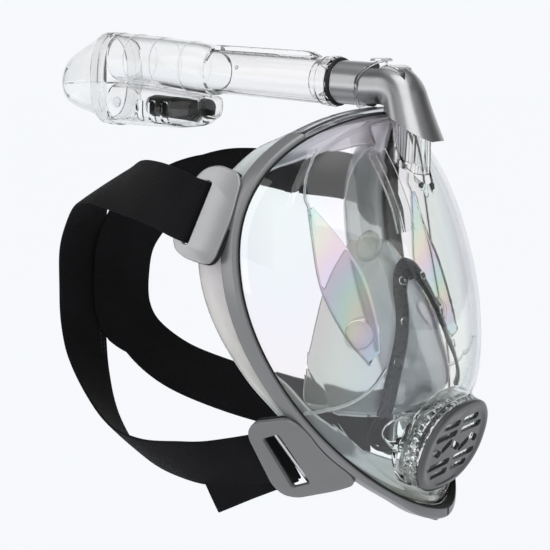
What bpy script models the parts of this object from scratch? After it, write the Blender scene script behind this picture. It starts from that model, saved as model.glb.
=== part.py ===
"""Full-face snorkel mask with a fold-back dry-top snorkel and an elastic headband.

Frame: +X is the wearer's left, -Y is the front of the lens, +Z is up. The origin is the centre
of the face opening. Driving dimensions are in millimetres and are turned into metres by MM.
"""
import math

import bmesh
import bpy
from mathutils import Matrix, Vector

MM = 0.001
GAP = 0.3                       # clearance between pieces that touch, mm

# --- rim of the lens, seen from the front: two half superellipses ---------------------------
RIM_HALF_WIDTH = 89.0
RIM_CENTRE_Z = 18.0
RIM_UP, RIM_UP_POWER = 103.5, 2.35
RIM_DOWN, RIM_DOWN_POWER = 143.0, 1.83
RIM_LEAN = 0.179                # the rim leans back by this much in y for each unit of height
RIM_APEX_Y = -74.8              # y of the rim's centre line at z = 0
RIM_WRAP, RIM_WRAP_POWER = 73.0, 1.6   # how far the sides wrap back round the face
RIM_STEPS = 48

# --- lens -----------------------------------------------------------------------------------
LENS_WALL = 2.4
LENS_POWER = 2.2
LENS_DEPTH = [(-125, 2), (-112, 5), (-88, 12), (-62, 24), (-45, 31), (-20, 33.5), (10, 33),
              (45, 30), (80, 26), (105, 18), (125, 10)]       # height z, bulge in front of the rim line

# --- frame band -----------------------------------------------------------------------------
BAND_THICK = 4.0
BAND_FRONT, BAND_REAR = -4.2, 5.6
BRIDGE_HALF_ANGLE = 31.0        # the clear top bridge spans this angle each side of the top

# --- snorkel --------------------------------------------------------------------------------
HINGE = Vector((0.0, -57.0, 137.5))
TUBE_PITCH = math.radians(3.0)
DRUM_R, DRUM_HALF = 12.0, 8.2
CAVITY_R, CAVITY_HALF = 13.6, 8.6
CHEEK_R = 20.0
COLLAR_START, COLLAR_END, COLLAR_R = 20.5, 40.0, 13.8
SPIGOT_END, SPIGOT_R = 58.0, 12.4
NECK_HALF = 9.7
AIRWAY_R = 6.2
PIN_R = 2.0
TUBE_START, TUBE_END = 43.4, 146.0
TUBE_R, TUBE_WALL = 15.0, 2.1
HEAD_END, RING_END, NOSE_END = 239.0, 254.0, 299.0
HEAD_WALL = 1.8
FLOAT_START, FLOAT_END = 157.0, 203.0

# --- elbow and air port -----------------------------------------------------------------------
ELBOW_R, FOOT_R = 14.0, 17.5           # the elbow's radius at the hinge and at its flared foot
ELBOW_BEND_Y, ELBOW_BEND_R = -52.5, 12.0    # where the bend starts, and its radius
ELBOW_LEAN = 16.0               # the leg leans forwards by this many degrees
PORT_Y = -70.4
PORT_R, PORT_WALL = 12.2, 2.2
BASE_REAR, BASE_FRONT = (-58.2, 122.9), (-110.0, 93.0)   # the elbow's inclined foot, y and z

# --- chin drain -------------------------------------------------------------------------------
COVER_CENTRE = Vector((0.0, -104.4, -84.0))
COVER_HALF_W, COVER_HALF_H, COVER_THICK = 37.8, 30.6, 3.4
COVER_POWER = 2.3
COVER_TILT = math.radians(15.6)
OVAL_CENTRE = Vector((0.0, -61.0, -83.0))
OVAL_HALF_W, OVAL_HALF_H, OVAL_WIRE = 23.0, 9.5, 0.9
OVAL_TILT = math.radians(20.0)

# --- straps -----------------------------------------------------------------------------------
STRAP_WIDTH, STRAP_THICK = 40.0, 1.8
# centre of the webbing, then the direction of its outer edge; wearer's right strap first
STRAP_RIGHT = [
    ((-85.9, 24.9, 59.7), (.40, -.2, .90)), ((-90.0, 24.3, 61.4), (.40, -.2, .90)),
    ((-92.6, 26.4, 63.0), (.40, -.2, .90)), ((-92.9, 34.2, 64.8), (.40, -.18, .90)),
    ((-92, 56, 70), (.37, -.10, .92)),
    ((-82, 92, 72), (.52, -.1, .84)), ((-64, 131, 69), (.78, -.1, .50)),
    ((-47, 164, 60), (.90, -.1, .36)), ((-33, 191, 40), (.93, -.12, .28)),
    ((-24, 207, 14), (.97, -.18, .10)), ((-20.6, 212, -15), (.98, -.2, 0)),
    ((-20.6, 212, -45), (.98, -.18, -.05)), ((-24, 203, -77), (.93, -.05, -.33)),
    ((-34, 178, -104), (.84, .1, -.53)), ((-49, 140, -118), (.76, .22, -.58)),
    ((-62, 97, -119), (.65, .30, -.68)), ((-68, 52, -113), (.45, .25, -.84)),
    ((-63, 18, -104), (.44, -.05, -.89)), ((-55, -16, -94), (.46, -.315, -.83))]
STRAP_LEFT = [
    ((85.9, 24.9, 59.7), (-.40, -.2, .90)), ((90.0, 24.3, 61.4), (-.40, -.2, .90)),
    ((92.6, 26.4, 63.0), (-.40, -.2, .90)), ((92.9, 34.2, 64.8), (-.40, -.18, .90)),
    ((92, 56, 68), (-.37, -.10, .92)),
    ((84, 92, 69), (-.50, -.1, .86)), ((68, 132, 72), (-.72, -.05, .62)),
    ((51, 163, 61), (-.84, .0, .52)), ((37, 185, 38), (-.90, .1, .38)),
    ((24, 199, 12), (-.97, .18, .12)), ((20.6, 204, -15), (-.98, .2, 0)),
    ((21.5, 204, -42), (-.98, .18, -.1)), ((28, 195, -65), (-.9, .15, -.42)),
    ((41, 172, -86), (-.72, .2, -.66)), ((57, 135, -100), (-.52, .2, -.8)),
    ((68, 92, -107), (-.42, .1, -.9)), ((71, 48, -108), (-.42, .0, -.9)),
    ((63, 18, -104), (-.44, -.05, -.89)), ((55, -16, -94), (-.46, -.315, -.83))]

# --- tabs: origin and axes of each plate's own plane, then outline along (rear, up) -----------
UPPER_TAB = dict(origin=(-88.5, 2.5, 56), rear=(-.046, .972, .231), up=(.396, -.195, .897),
                 outline=[(-2, -27), (18, -29), (28, -26.5), (33, -20), (34, 20), (29, 28),
                          (20, 32.5), (6, 32), (1, 27), (-2.5, 5)],
                 slot=[(20.5, -20.5), (24.5, -20.5), (24.5, 20.5), (20.5, 20.5)], thick=3.0)
LOWER_TAB = dict(origin=(-62.5, -54, -81.5), rear=(-.089, .913, -.397), up=(-.463, .315, .828),
                 outline=[(-4, -30), (12, -31), (43, -29), (52, -24), (54.5, -14), (47, 24),
                          (43, 30), (35, 33), (13, 29), (8, 24), (0, 3), (-3, -12)],
                 slot=[(27, -20.5), (42, -20.5), (38, 20.5), (24, 20.5)], thick=3.6)

for old in list(bpy.data.objects):
    bpy.data.objects.remove(old, do_unlink=True)

PARTS = bpy.data.collections.new("snorkel_mask")
CUTTERS = bpy.data.collections.new("cutters")
bpy.context.scene.collection.children.link(PARTS)
bpy.context.scene.collection.children.link(CUTTERS)


# ============================== materials ===================================================
def material(name, colour, roughness, metallic=0.0, alpha=1.0):
    mat = bpy.data.materials.new(name)
    mat.use_nodes = True
    shader = mat.node_tree.nodes["Principled BSDF"]
    shader.inputs["Base Color"].default_value = (*colour, 1.0)
    shader.inputs["Roughness"].default_value = roughness
    shader.inputs["Metallic"].default_value = metallic
    shader.inputs["Alpha"].default_value = alpha
    return mat


CLEAR = ((0.86, 0.89, 0.90), 0.08, 0.0, 0.35)
SILICONE = ((0.84, 0.86, 0.86), 0.30, 0.0, 0.45)
SILVER = ((0.46, 0.46, 0.47), 0.32, 0.6)
GREY = ((0.20, 0.20, 0.21), 0.45, 0.2)
BLACK = ((0.012, 0.012, 0.013), 0.6)
STEEL = ((0.60, 0.61, 0.62), 0.25, 1.0)


# ============================== mesh helpers ================================================
def mesh_object(name, verts, faces, collection=PARTS):
    """A mesh from points in millimetres, with its faces turned outwards."""
    mesh = bpy.data.meshes.new(name)
    mesh.from_pydata([Vector(v) * MM for v in verts], [], faces)
    bm = bmesh.new()
    bm.from_mesh(mesh)
    bmesh.ops.recalc_face_normals(bm, faces=bm.faces)
    bm.to_mesh(mesh)
    bm.free()
    obj = bpy.data.objects.new(name, mesh)
    collection.objects.link(obj)
    if collection is CUTTERS:
        obj.hide_render = True
        obj.display_type = "WIRE"
    return obj


def finish(obj, look, smooth=True):
    """Give a part its own material and its shading."""
    obj.data.materials.clear()
    obj.data.materials.append(material(obj.name, *look))
    if smooth and obj.type == "MESH":
        obj.data.shade_smooth()
        obj.data.set_sharp_from_angle(angle=math.radians(35))
    return obj


def loft(name, sections, closed=False, caps=True, collection=PARTS):
    """Skin a row of sections, each the same number of points round a closed outline."""
    count = len(sections[0])
    verts = [point for section in sections for point in section]
    rows = len(sections)
    faces = []
    for i in range(rows if closed else rows - 1):
        j = (i + 1) % rows
        for k in range(count):
            m = (k + 1) % count
            faces.append((i * count + k, i * count + m, j * count + m, j * count + k))
    if caps and not closed:
        faces.append(tuple(range(count)))
        faces.append(tuple(range((rows - 1) * count, rows * count)))
    return mesh_object(name, verts, faces, collection)


def sheet(name, rows, wall, loop_rows=False, loop_columns=False, offset=-1.0):
    """A shell: a grid of points skinned as an open surface, thickened by Solidify."""
    count = len(rows[0])
    verts = [point for row in rows for point in row]
    faces = []
    for i in range(len(rows) if loop_rows else len(rows) - 1):
        j = (i + 1) % len(rows)
        for k in range(count if loop_columns else count - 1):
            m = (k + 1) % count
            faces.append((i * count + k, i * count + m, j * count + m, j * count + k))
    obj = mesh_object(name, verts, faces)
    thicken(obj, wall, offset)
    return obj


def thicken(obj, wall, offset=-1.0):
    mod = obj.modifiers.new("wall", "SOLIDIFY")
    mod.thickness = wall * MM
    mod.offset = offset
    mod.use_even_offset = True
    mod.use_quality_normals = True


def boolean(obj, other, operation="DIFFERENCE"):
    mod = obj.modifiers.new(operation.lower(), "BOOLEAN")
    mod.operation = operation
    mod.solver = "EXACT"
    mod.object = other


def baked(obj):
    """Apply an object's modifiers, so that it can be joined or cut again."""
    graph = bpy.context.evaluated_depsgraph_get()
    graph.update()
    mesh = bpy.data.meshes.new_from_object(obj.evaluated_get(graph))
    obj.modifiers.clear()
    obj.data = mesh
    return obj


def rod(name, start, end, radius, sides=24, collection=CUTTERS, end_radius=None):
    """A cylinder or cone between two points in millimetres."""
    start, end = Vector(start), Vector(end)
    bm = bmesh.new()
    bmesh.ops.create_cone(bm, cap_ends=True, segments=sides, radius1=radius * MM,
                          radius2=(radius if end_radius is None else end_radius) * MM,
                          depth=(end - start).length * MM)
    mesh = bpy.data.meshes.new(name)
    bm.to_mesh(mesh)
    bm.free()
    turn = (end - start).to_track_quat("Z", "Y").to_matrix().to_4x4()
    mesh.transform(Matrix.Translation((start + end) * 0.5 * MM) @ turn)
    obj = bpy.data.objects.new(name, mesh)
    collection.objects.link(obj)
    if collection is CUTTERS:
        obj.hide_render = True
        obj.display_type = "WIRE"
    return obj


def prism_x(name, outline_yz, half_width, collection=CUTTERS):
    """An outline in Y and Z, extruded across X."""
    left = [(-half_width, y, z) for y, z in outline_yz]
    right = [(half_width, y, z) for y, z in outline_yz]
    return loft(name, [left, right], collection=collection)


def turned(name, profile, centre, axis, steps=32, collection=PARTS):
    """A closed (radius, distance) profile, turned about an axis with a Screw modifier.

    The profile runs down its outer side, from its far end to its near end.
    """
    mesh = bpy.data.meshes.new(name)
    count = len(profile)
    on_axis = profile[0][0] == 0 and profile[-1][0] == 0
    edges = [(i, i + 1) for i in range(count - 1)]
    if not on_axis:
        edges.append((count - 1, 0))
    mesh.from_pydata([(r * MM, 0, h * MM) for r, h in profile], edges, [])
    obj = bpy.data.objects.new(name, mesh)
    collection.objects.link(obj)
    if collection is CUTTERS:
        obj.hide_render = True
        obj.display_type = "WIRE"
    mod = obj.modifiers.new("turn", "SCREW")
    mod.steps = steps
    mod.render_steps = steps
    mod.use_merge_vertices = True
    mod.merge_threshold = 0.00001
    mod.use_smooth_shade = True
    obj.matrix_world = (Matrix.Translation(Vector(centre) * MM)
                        @ Vector(axis).to_track_quat("Z", "Y").to_matrix().to_4x4())
    return obj


def plate(name, plane, outline, hole, thick, side):
    """A flat plate with one slot, lying in its own plane; side is -1 on the wearer's right."""
    rear, up = Vector(plane["rear"]).normalized(), Vector(plane["up"])
    up = (up - rear * rear.dot(up)).normalized()
    origin = Vector(plane["origin"])
    if side > 0:
        origin.x, rear.x, up.x = -origin.x, -rear.x, -up.x
    curve = bpy.data.curves.new(name, "CURVE")
    curve.dimensions = "2D"
    curve.fill_mode = "BOTH"
    curve.extrude = thick * 0.5 * MM
    for loop in (outline, hole):
        spline = curve.splines.new("POLY")
        spline.points.add(len(loop) - 1)
        spline.use_cyclic_u = True
        for point, (a, b) in zip(spline.points, loop):
            point.co = (a * MM, b * MM, 0, 1)
    obj = bpy.data.objects.new(name, curve)
    PARTS.objects.link(obj)
    basis = Matrix((rear, up, rear.cross(up))).transposed().to_4x4()
    obj.matrix_world = Matrix.Translation(origin * MM) @ basis
    return obj


def as_mesh(curve_object):
    """Turn a filled curve into a closed mesh, so that a Boolean can cut it."""
    graph = bpy.context.evaluated_depsgraph_get()
    graph.update()
    mesh = bpy.data.meshes.new_from_object(curve_object.evaluated_get(graph))
    bm = bmesh.new()
    bm.from_mesh(mesh)
    bmesh.ops.remove_doubles(bm, verts=bm.verts, dist=0.000002)
    bm.to_mesh(mesh)
    bm.free()
    name, place = curve_object.name, curve_object.matrix_world.copy()
    bpy.data.objects.remove(curve_object)
    obj = bpy.data.objects.new(name, mesh)
    obj.matrix_world = place
    PARTS.objects.link(obj)
    return obj


def fillet(points, radius, steps=4):
    """Round each corner of a closed outline with an arc-like curve."""
    result = []
    count = len(points)
    for i in range(count):
        before, at, after = (Vector(points[(i + k) % count]) for k in (-1, 0, 1))
        reach = min(radius, (before - at).length * 0.45, (after - at).length * 0.45)
        a = at + (before - at).normalized() * reach
        b = at + (after - at).normalized() * reach
        for k in range(steps + 1):
            t = k / steps
            result.append(a * (1 - t) ** 2 + at * 2 * t * (1 - t) + b * t ** 2)
    return [tuple(p) for p in result]


def spline_points(points, per_span):
    """Catmull-Rom points through the given ones."""
    pts = [Vector(p) for p in points]
    pts = [pts[0] * 2 - pts[1]] + pts + [pts[-1] * 2 - pts[-2]]
    result = []
    for i in range(1, len(pts) - 2):
        a, b, c, d = pts[i - 1:i + 3]
        for k in range(per_span):
            t = k / per_span
            result.append(0.5 * (2 * b + (c - a) * t + (2 * a - 5 * b + 4 * c - d) * t * t
                                 + (3 * b - a - 3 * c + d) * t ** 3))
    result.append(pts[-2])
    return result


def oval(centre, across, up, half_w, half_h, count, power=2.0):
    """Points round a superellipse in the plane of two unit vectors."""
    result = []
    for k in range(count):
        angle = 2 * math.pi * k / count
        c, s = math.cos(angle), math.sin(angle)
        size = (abs(c) ** power + abs(s) ** power) ** (-1 / power)
        result.append(centre + across * (half_w * c * size) + up * (half_h * s * size))
    return result


# ============================== shared geometry =============================================
def rim_radius(angle):
    c, s = math.cos(angle), math.sin(angle)
    height, power = (RIM_UP, RIM_UP_POWER) if s >= 0 else (RIM_DOWN, RIM_DOWN_POWER)
    return (abs(c / RIM_HALF_WIDTH) ** power + abs(s / height) ** power) ** (-1 / power)


def lens_depth(z):
    for (z0, d0), (z1, d1) in zip(LENS_DEPTH, LENS_DEPTH[1:]):
        if z <= z1:
            t = max(0.0, (z - z0) / (z1 - z0))
            return d0 + (d1 - d0) * t
    return LENS_DEPTH[-1][1]


def lens_point(angle, rho):
    """A point of the lens' outer surface: rho is 1 on the rim and 0 at the middle."""
    radius = rim_radius(angle)
    x_rim = radius * math.cos(angle)
    x, z = x_rim * rho, RIM_CENTRE_Z + radius * math.sin(angle) * rho
    rise = 1 - (1 - min(rho, 1.0) ** LENS_POWER) ** (1 / LENS_POWER)
    wrap = RIM_WRAP * (abs(x_rim) / RIM_HALF_WIDTH) ** RIM_WRAP_POWER
    y = RIM_APEX_Y + RIM_LEAN * z + wrap * rise - lens_depth(z) * (1 - rise)
    return Vector((x, y, z))


def rim_frame(angle):
    """Rim point and the outward direction there, square to the rim as seen from the front."""
    step = 0.002
    tangent = lens_point(angle + step, 1.0) - lens_point(angle - step, 1.0)
    outward = Vector((tangent.z, 0, -tangent.x)).normalized()
    return lens_point(angle, 1.0), outward


def rim_section(angle, offsets):
    """A section across the rim: each offset is (outwards, rearwards) in millimetres."""
    point, outward = rim_frame(angle)
    return [point + outward * out + Vector((0, rear, 0)) for out, rear in offsets]


def rim_angles(start_deg, end_deg, steps):
    return [math.radians(start_deg + (end_deg - start_deg) * k / steps) for k in range(steps + 1)]


ALONG = Vector((0, math.cos(TUBE_PITCH), math.sin(TUBE_PITCH)))
ABOVE = Vector((0, -math.sin(TUBE_PITCH), math.cos(TUBE_PITCH)))


def on_tube(distance, height=0.0, x=0.0):
    """A point given by its distance from the fold hinge along the snorkel's axis."""
    return HINGE + ALONG * distance + ABOVE * height + Vector((x, 0, 0))


def tube_oval(distance, centre_h, half_w, half_h, count=28, power=2.3):
    return oval(on_tube(distance, centre_h), Vector((1, 0, 0)), ABOVE, half_w, half_h, count, power)


def arc_yz(centre, radius, start_deg, end_deg, steps):
    """Arc points in the YZ plane; 0 degrees is +Y and 90 degrees is +Z."""
    return [(centre[1] + radius * math.cos(math.radians(a)), centre[2] + radius * math.sin(math.radians(a)))
            for a in (start_deg + (end_deg - start_deg) * k / steps for k in range(steps + 1))]


# ============================== lens and frame ==============================================
def make_lens():
    angles = [2 * math.pi * k / RIM_STEPS for k in range(RIM_STEPS)]
    rhos = [1.0, 0.98, 0.92, 0.8, 0.62, 0.4, 0.18]
    verts = [lens_point(a, r) for r in rhos for a in angles]
    centre = len(verts)
    verts.append(lens_point(0.0, 0.0))
    faces = []
    for i in range(len(rhos) - 1):
        for k in range(RIM_STEPS):
            m = (k + 1) % RIM_STEPS
            a, b = i * RIM_STEPS, (i + 1) * RIM_STEPS
            faces.append((a + k, a + m, b + m, b + k))
    last = (len(rhos) - 1) * RIM_STEPS
    faces += [(last + k, last + (k + 1) % RIM_STEPS, centre) for k in range(RIM_STEPS)]
    lens = mesh_object("lens", verts, faces)
    # the surface must face forwards, so that Solidify thickens it towards the face
    if lens.data.polygons[-1].normal.y > 0:
        lens.data.flip_normals()
    thicken(lens, LENS_WALL)
    air_hole = rod("lens_air_hole", (0, PORT_Y, 60), (0, PORT_Y, 135), PORT_R + 0.4, 28)
    boolean(lens, air_hole)
    boss = loft("lens_drain_boss", [drain_oval(-14.5, 1.075), drain_oval(-8.5, 1.04)], collection=CUTTERS)
    boolean(lens, boss, "UNION")
    drain_hole = drain_rod("lens_drain_hole", -40, 14, 1.008)
    boolean(lens, drain_hole)
    return finish(lens, CLEAR)


def make_band():
    """Two grey frame halves that meet at the chin, and the clear bridge over the top."""
    outer, inner = 0.35 + BAND_THICK, 0.35
    profile = [(inner, BAND_FRONT), (outer - 1.6, BAND_FRONT), (outer, BAND_FRONT + 1.8),
               (outer, BAND_REAR - 0.8), (outer - 0.8, BAND_REAR), (inner - 2.6, BAND_REAR),
               (inner - 2.6, BAND_REAR - 1.2), (inner, BAND_REAR - 1.2)]
    joint = 0.25
    top_end = 90 - BRIDGE_HALF_ANGLE
    left = [rim_section(a, profile) for a in rim_angles(-90 + joint, top_end - joint, 24)]
    finish(loft("frame_left", left), GREY)
    right = [rim_section(a, profile) for a in rim_angles(270 - joint, 180 - top_end + joint, 24)]
    finish(loft("frame_right", right), GREY)
    bridge_top = inner + 3.2
    bridge = [(inner, BAND_FRONT), (bridge_top - 0.5, BAND_FRONT), (bridge_top, BAND_FRONT + 0.6),
              (bridge_top, BAND_REAR - 0.6), (bridge_top - 0.5, BAND_REAR), (inner - 2.6, BAND_REAR),
              (inner - 2.6, BAND_REAR - 1.2), (inner, BAND_REAR - 1.2)]
    top = [rim_section(a, bridge) for a in rim_angles(top_end, 180 - top_end, 12)]
    finish(loft("top_bridge", top), CLEAR)


def make_chin_screw():
    """The screw that draws the two frame halves together under the chin."""
    point, _ = rim_frame(math.radians(-90))
    centre = point + Vector((0, 1.0, -6.4))
    lug = [(-4.4, 1.6), (-3.2, -2.6), (3.2, -2.6), (5.4, 1.6)]
    boss = loft("chin_clamp", [[Vector((x, centre.y + y, centre.z + z)) for y, z in fillet(lug, 1.0, 2)]
                               for x in (-7, 7)])
    middle = centre + Vector((0, 0.4, -0.5))
    reach = Vector((6.6, 0, 0))
    boolean(boss, rod("chin_screw_hole", middle - reach * 2, middle + reach * 2, 1.3, 16))
    finish(boss, GREY, smooth=False)
    finish(rod("chin_screw", middle - reach, middle + reach, 1.0, 16, PARTS), STEEL)


def make_tabs():
    """Strap tabs on the frame's sides; each plate stops a hair outside the band that carries it."""
    reach = [(-16, -30), (0.35 + BAND_THICK + GAP, -30), (0.35 + BAND_THICK + GAP, BAND_REAR + GAP),
             (-16, BAND_REAR + GAP)]
    for side, word in ((-1, "right"), (1, "left")):
        middle = 180 if side < 0 else 0
        clearance = loft(f"tab_clearance_{word}",
                         [rim_section(a, reach) for a in rim_angles(middle - 80, middle + 80, 30)],
                         collection=CUTTERS)
        for label, plane in (("upper", UPPER_TAB), ("lower", LOWER_TAB)):
            tab = plate(f"{label}_tab_{word}", plane, fillet(plane["outline"], 7.0, 3),
                        fillet(plane["slot"], 1.6, 2), plane["thick"], side)
            tab = as_mesh(tab)
            boolean(tab, clearance)
            finish(tab, SILVER if label == "upper" else GREY)
        bar_plane = LOWER_TAB
        rear, up = Vector(bar_plane["rear"]), Vector(bar_plane["up"])
        origin = Vector(bar_plane["origin"])
        inward = Vector((0.882, 0.258, 0.395))
        middle = origin + rear * 32.5 + inward * 5.6
        ends = [middle + up * t for t in (-23.0, 23.0)]
        if side > 0:
            ends = [Vector((-p.x, p.y, p.z)) for p in ends]
        finish(rod(f"strap_bar_{word}", ends[0], ends[1], 1.7, 16, PARTS), STEEL)


# ============================== soft inner parts ============================================
def skirt_scale(angle):
    """How deep the skirt is: full at the cheeks, shallower over the brow and under the chin."""
    side = abs(math.cos(angle))
    return 0.42 + 0.58 * side ** 0.8 if math.sin(angle) > 0 else 0.50 + 0.50 * side ** 0.7


def make_skirt():
    rows = []
    for k in range(RIM_STEPS):
        angle = 2 * math.pi * k / RIM_STEPS
        s = skirt_scale(angle)
        profile = [(-0.4, 3.25), (-3.6, 3.25), (-5.0, 6.6), (-1.2, 5 + 13 * s),
                   (-4.0, 5 + 23.0 * s), (-12.0, 5 + 25.5 * s), (-22.0, 5 + 17.0 * s)]
        rows.append(rim_section(angle, profile))
    skirt = sheet("skirt", rows, 1.0, loop_rows=True, offset=0.0)
    return finish(skirt, SILICONE)


CUP_SECTIONS = [(40, 7, -55), (33, 15, -60), (22, 27, -67), (8, 37, -75), (-6, 43, -80.5),
                (-22, 49, -83.5), (-38, 54, -86), (-51, 56, -86.5), (-59, 54, -84), (-64, 47, -79)]
CUP_REAR_Y = -30.0


def cup_section(z, half_width, front_y, count=16):
    """One level cut of the nose-and-mouth cup, from cheek to cheek round the front."""
    power = 2.0 + 0.9 * min(1.0, max(0.0, (20 - z) / 70))
    points = []
    for k in range(count + 1):
        angle = math.pi * k / count
        c, s = math.cos(angle), math.sin(angle)
        size = (abs(c) ** power + abs(s) ** power) ** (-1 / power)
        points.append(Vector((half_width * c * size, CUP_REAR_Y + (front_y - CUP_REAR_Y) * s * size, z)))
    return points


INHALE_CENTRE = Vector((-45.5, -64.5, -11.0))
INHALE_AXIS = Vector((-0.86, -0.50, 0.06)).normalized()


def inhale_sides():
    """Name, centre and outward axis of the inhale valve in each cheek of the cup."""
    mirror = Matrix.Diagonal((-1, 1, 1))
    return [("right", INHALE_CENTRE, INHALE_AXIS), ("left", mirror @ INHALE_CENTRE, mirror @ INHALE_AXIS)]


def make_cup():
    levels = spline_points(CUP_SECTIONS, 1)
    rows = [cup_section(level.x, level.y, level.z) for level in levels]
    cup = sheet("orinasal_cup", rows, 1.6)
    for word, centre, axis in inhale_sides():
        boolean(cup, rod(f"cup_valve_hole_{word}", centre - axis * 12, centre + axis * 6, 8.8, 28))
    return finish(cup, SILICONE)


ARCH_LEG = [(0, -69.2, 24.5), (8, -70.0, 21.5), (14, -73.0, 13), (18.5, -77.8, 1), (23, -80.8, -11),
            (28, -82.2, -22), (35.2, -83.4, -35), (41.5, -83.6, -50), (43, -81.2, -60)]


def arch_normal(x):
    """The arch's outward direction: it lies flat on the cup, and leans back over the nose."""
    return Vector((0.55 * x / 30, -1, 0.25 + 0.35 * max(0.0, 1 - abs(x) / 18)))


def make_arch():
    """The dark stiffening arch that carries the cup: one leg down each side of the nose."""
    leg = spline_points(ARCH_LEG, 2)
    path = [Vector((-p.x, p.y, p.z)) for p in reversed(leg)] + leg[1:]
    sections = []
    for i, point in enumerate(path):
        along = (path[min(i + 1, len(path) - 1)] - path[max(i - 1, 0)]).normalized()
        normal = arch_normal(point.x)
        normal = (normal - along * along.dot(normal)).normalized()
        across = along.cross(normal)
        half = 5.2 + 2.2 * max(0.0, 1 - abs(point.x) / 18)
        sections.append([point + across * a * half + normal * b for a, b in
                         ((-1, -0.8), (1, -0.8), (1, 0.2), (0.7, 0.9), (-0.7, 0.9), (-1, 0.2))])
    arch = loft("arch_frame", sections)
    studs = []
    for word, sign in (("right", -1), ("left", 1)):
        for number, index in enumerate((3, 7, 11), 1):
            point = leg[index]
            centre = Vector((sign * point.x, point.y, point.z))
            out = arch_normal(centre.x).normalized()
            hole = rod(f"stud_hole_{word}_{number}", centre - out * 4, centre + out * 4, 1.9, 12)
            boolean(arch, hole)
            studs.append(turned(f"frame_stud_{word}_{number}",
                                [(0, 2.9), (2.3, 2.7), (2.8, 2.0), (1.5, 1.9), (1.5, -0.6), (0, -0.6)],
                                centre, out, 10))
    finish(arch, GREY)
    for stud in studs:
        finish(stud, CLEAR, smooth=False)


def make_inhale_valves():
    """One-way inhale valves in the cheeks of the cup: a clear seat and a soft disc."""
    for word, centre, axis in inhale_sides():
        seat = turned(f"inhale_seat_{word}", [(9.6, 1.6), (9.6, 0.0), (5.6, 0.0), (5.6, 1.6)],
                      centre, axis, 28)
        finish(seat, CLEAR, smooth=False)
        disc = turned(f"inhale_valve_{word}",
                      [(0, -0.3), (8.4, -0.3), (8.4, -1.0), (0, -1.0)], centre, axis, 28)
        finish(disc, SILICONE, smooth=False)


def make_exhale_duct():
    """The clear centre strip that carries used air from the cup's top to the brow."""
    route = spline_points([(0, -66.5, 47), (0, -61, 64), (0, -52, 82), (0, -43, 96)], 3)
    sections = []
    for i, point in enumerate(route):
        along = (route[min(i + 1, len(route) - 1)] - route[max(i - 1, 0)]).normalized()
        back = Vector((1, 0, 0)).cross(along)
        half, deep = 7.0, 3.2
        sections.append([point + Vector((a * half, 0, 0)) + back * b * deep for a, b in
                         ((-1, 1), (-1, -0.5), (-0.6, -1), (0.6, -1), (1, -0.5), (1, 1), (0.82, 1),
                          (0.82, -0.35), (0.5, -0.7), (-0.5, -0.7), (-0.82, -0.35), (-0.82, 1))])
    finish(loft("exhale_channel", sections), CLEAR, smooth=False)


# ============================== chin drain ==================================================
TILT_UP = Vector((0, -math.sin(COVER_TILT), math.cos(COVER_TILT)))
TILT_OUT = Vector((0, -math.cos(COVER_TILT), -math.sin(COVER_TILT)))


def drain_oval(depth, scale, count=36):
    """The drain's oval outline, depth mm in front of the cover's rear face."""
    return oval(COVER_CENTRE + TILT_OUT * depth, Vector((1, 0, 0)), TILT_UP,
                COVER_HALF_W * scale, COVER_HALF_H * scale, count, COVER_POWER)


def drain_rod(name, start, end, scale):
    return loft(name, [drain_oval(start, scale), drain_oval(end, scale)], collection=CUTTERS)


def make_drain():
    # clear rim that stands out of the lens and carries the cover
    rim = loft("drain_rim", [drain_oval(-14.0, 0.985), drain_oval(-1.5, 0.985), drain_oval(-GAP, 0.95)])
    boolean(rim, drain_rod("drain_rim_bore", -40, 10, 0.70))
    finish(rim, CLEAR)
    # purge seat: a spoked ring, the soft membrane in front of it
    seat_r = 17.0
    centre = COVER_CENTRE + TILT_OUT * -9.0
    seat = turned("purge_seat", [(20.8, 1.2), (20.8, -1.2), (seat_r - 4, -1.2), (seat_r - 4, 1.2)],
                  centre, TILT_OUT, 32)
    baked(seat)
    spokes = [rod(f"purge_spoke_{k}", centre + (Vector((1, 0, 0)) * math.cos(a) + TILT_UP * math.sin(a)) * 15,
                  centre - (Vector((1, 0, 0)) * math.cos(a) + TILT_UP * math.sin(a)) * 15, 1.0, 8)
              for k, a in enumerate((0.3, 1.87))]
    for spoke in spokes:
        boolean(seat, spoke, "UNION")
    finish(seat, GREY, smooth=False)
    membrane = turned("purge_membrane", [(0, 1.1), (15.6, 0.9), (16.4, 0.0), (0, 0.0)],
                      centre + TILT_OUT * 1.8, TILT_OUT, 32)
    finish(membrane, SILICONE)
    # slotted cover, crowned over its middle
    cover = loft("drain_cover", [drain_oval(0, 0.985), drain_oval(0, 1.0), drain_oval(1.8, 1.0),
                                 drain_oval(2.9, 0.955), drain_oval(COVER_THICK, 0.88)])
    across = Vector((1, 0, 0))
    for row, (height, half) in enumerate(((16, 17), (8.5, 25), (1, 28), (-6.5, 27), (-14, 21))):
        for sign in (-1, 1):
            a = COVER_CENTRE + TILT_UP * height + across * (sign * (4.0 + half * 0.5))
            slot = slot_cutter(f"cover_slot_{row}_{'right' if sign < 0 else 'left'}", a,
                               half * 0.5 - 1.5, 1.7)
            boolean(cover, slot)
    finish(cover, GREY, smooth=False)


def slot_cutter(name, centre, half_length, half_width):
    """A straight slot through the drain cover, with round ends."""
    outline = []
    for sign in (1, -1):
        for k in range(7):
            angle = -math.pi / 2 + math.pi * k / 6
            outline.append((sign * (half_length + half_width * math.cos(angle)),
                            sign * half_width * math.sin(angle)))
    return loft(name, [[centre + Vector((a, 0, 0)) + TILT_UP * b + TILT_OUT * depth for a, b in outline]
                       for depth in (-5, 12)], collection=CUTTERS)


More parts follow.
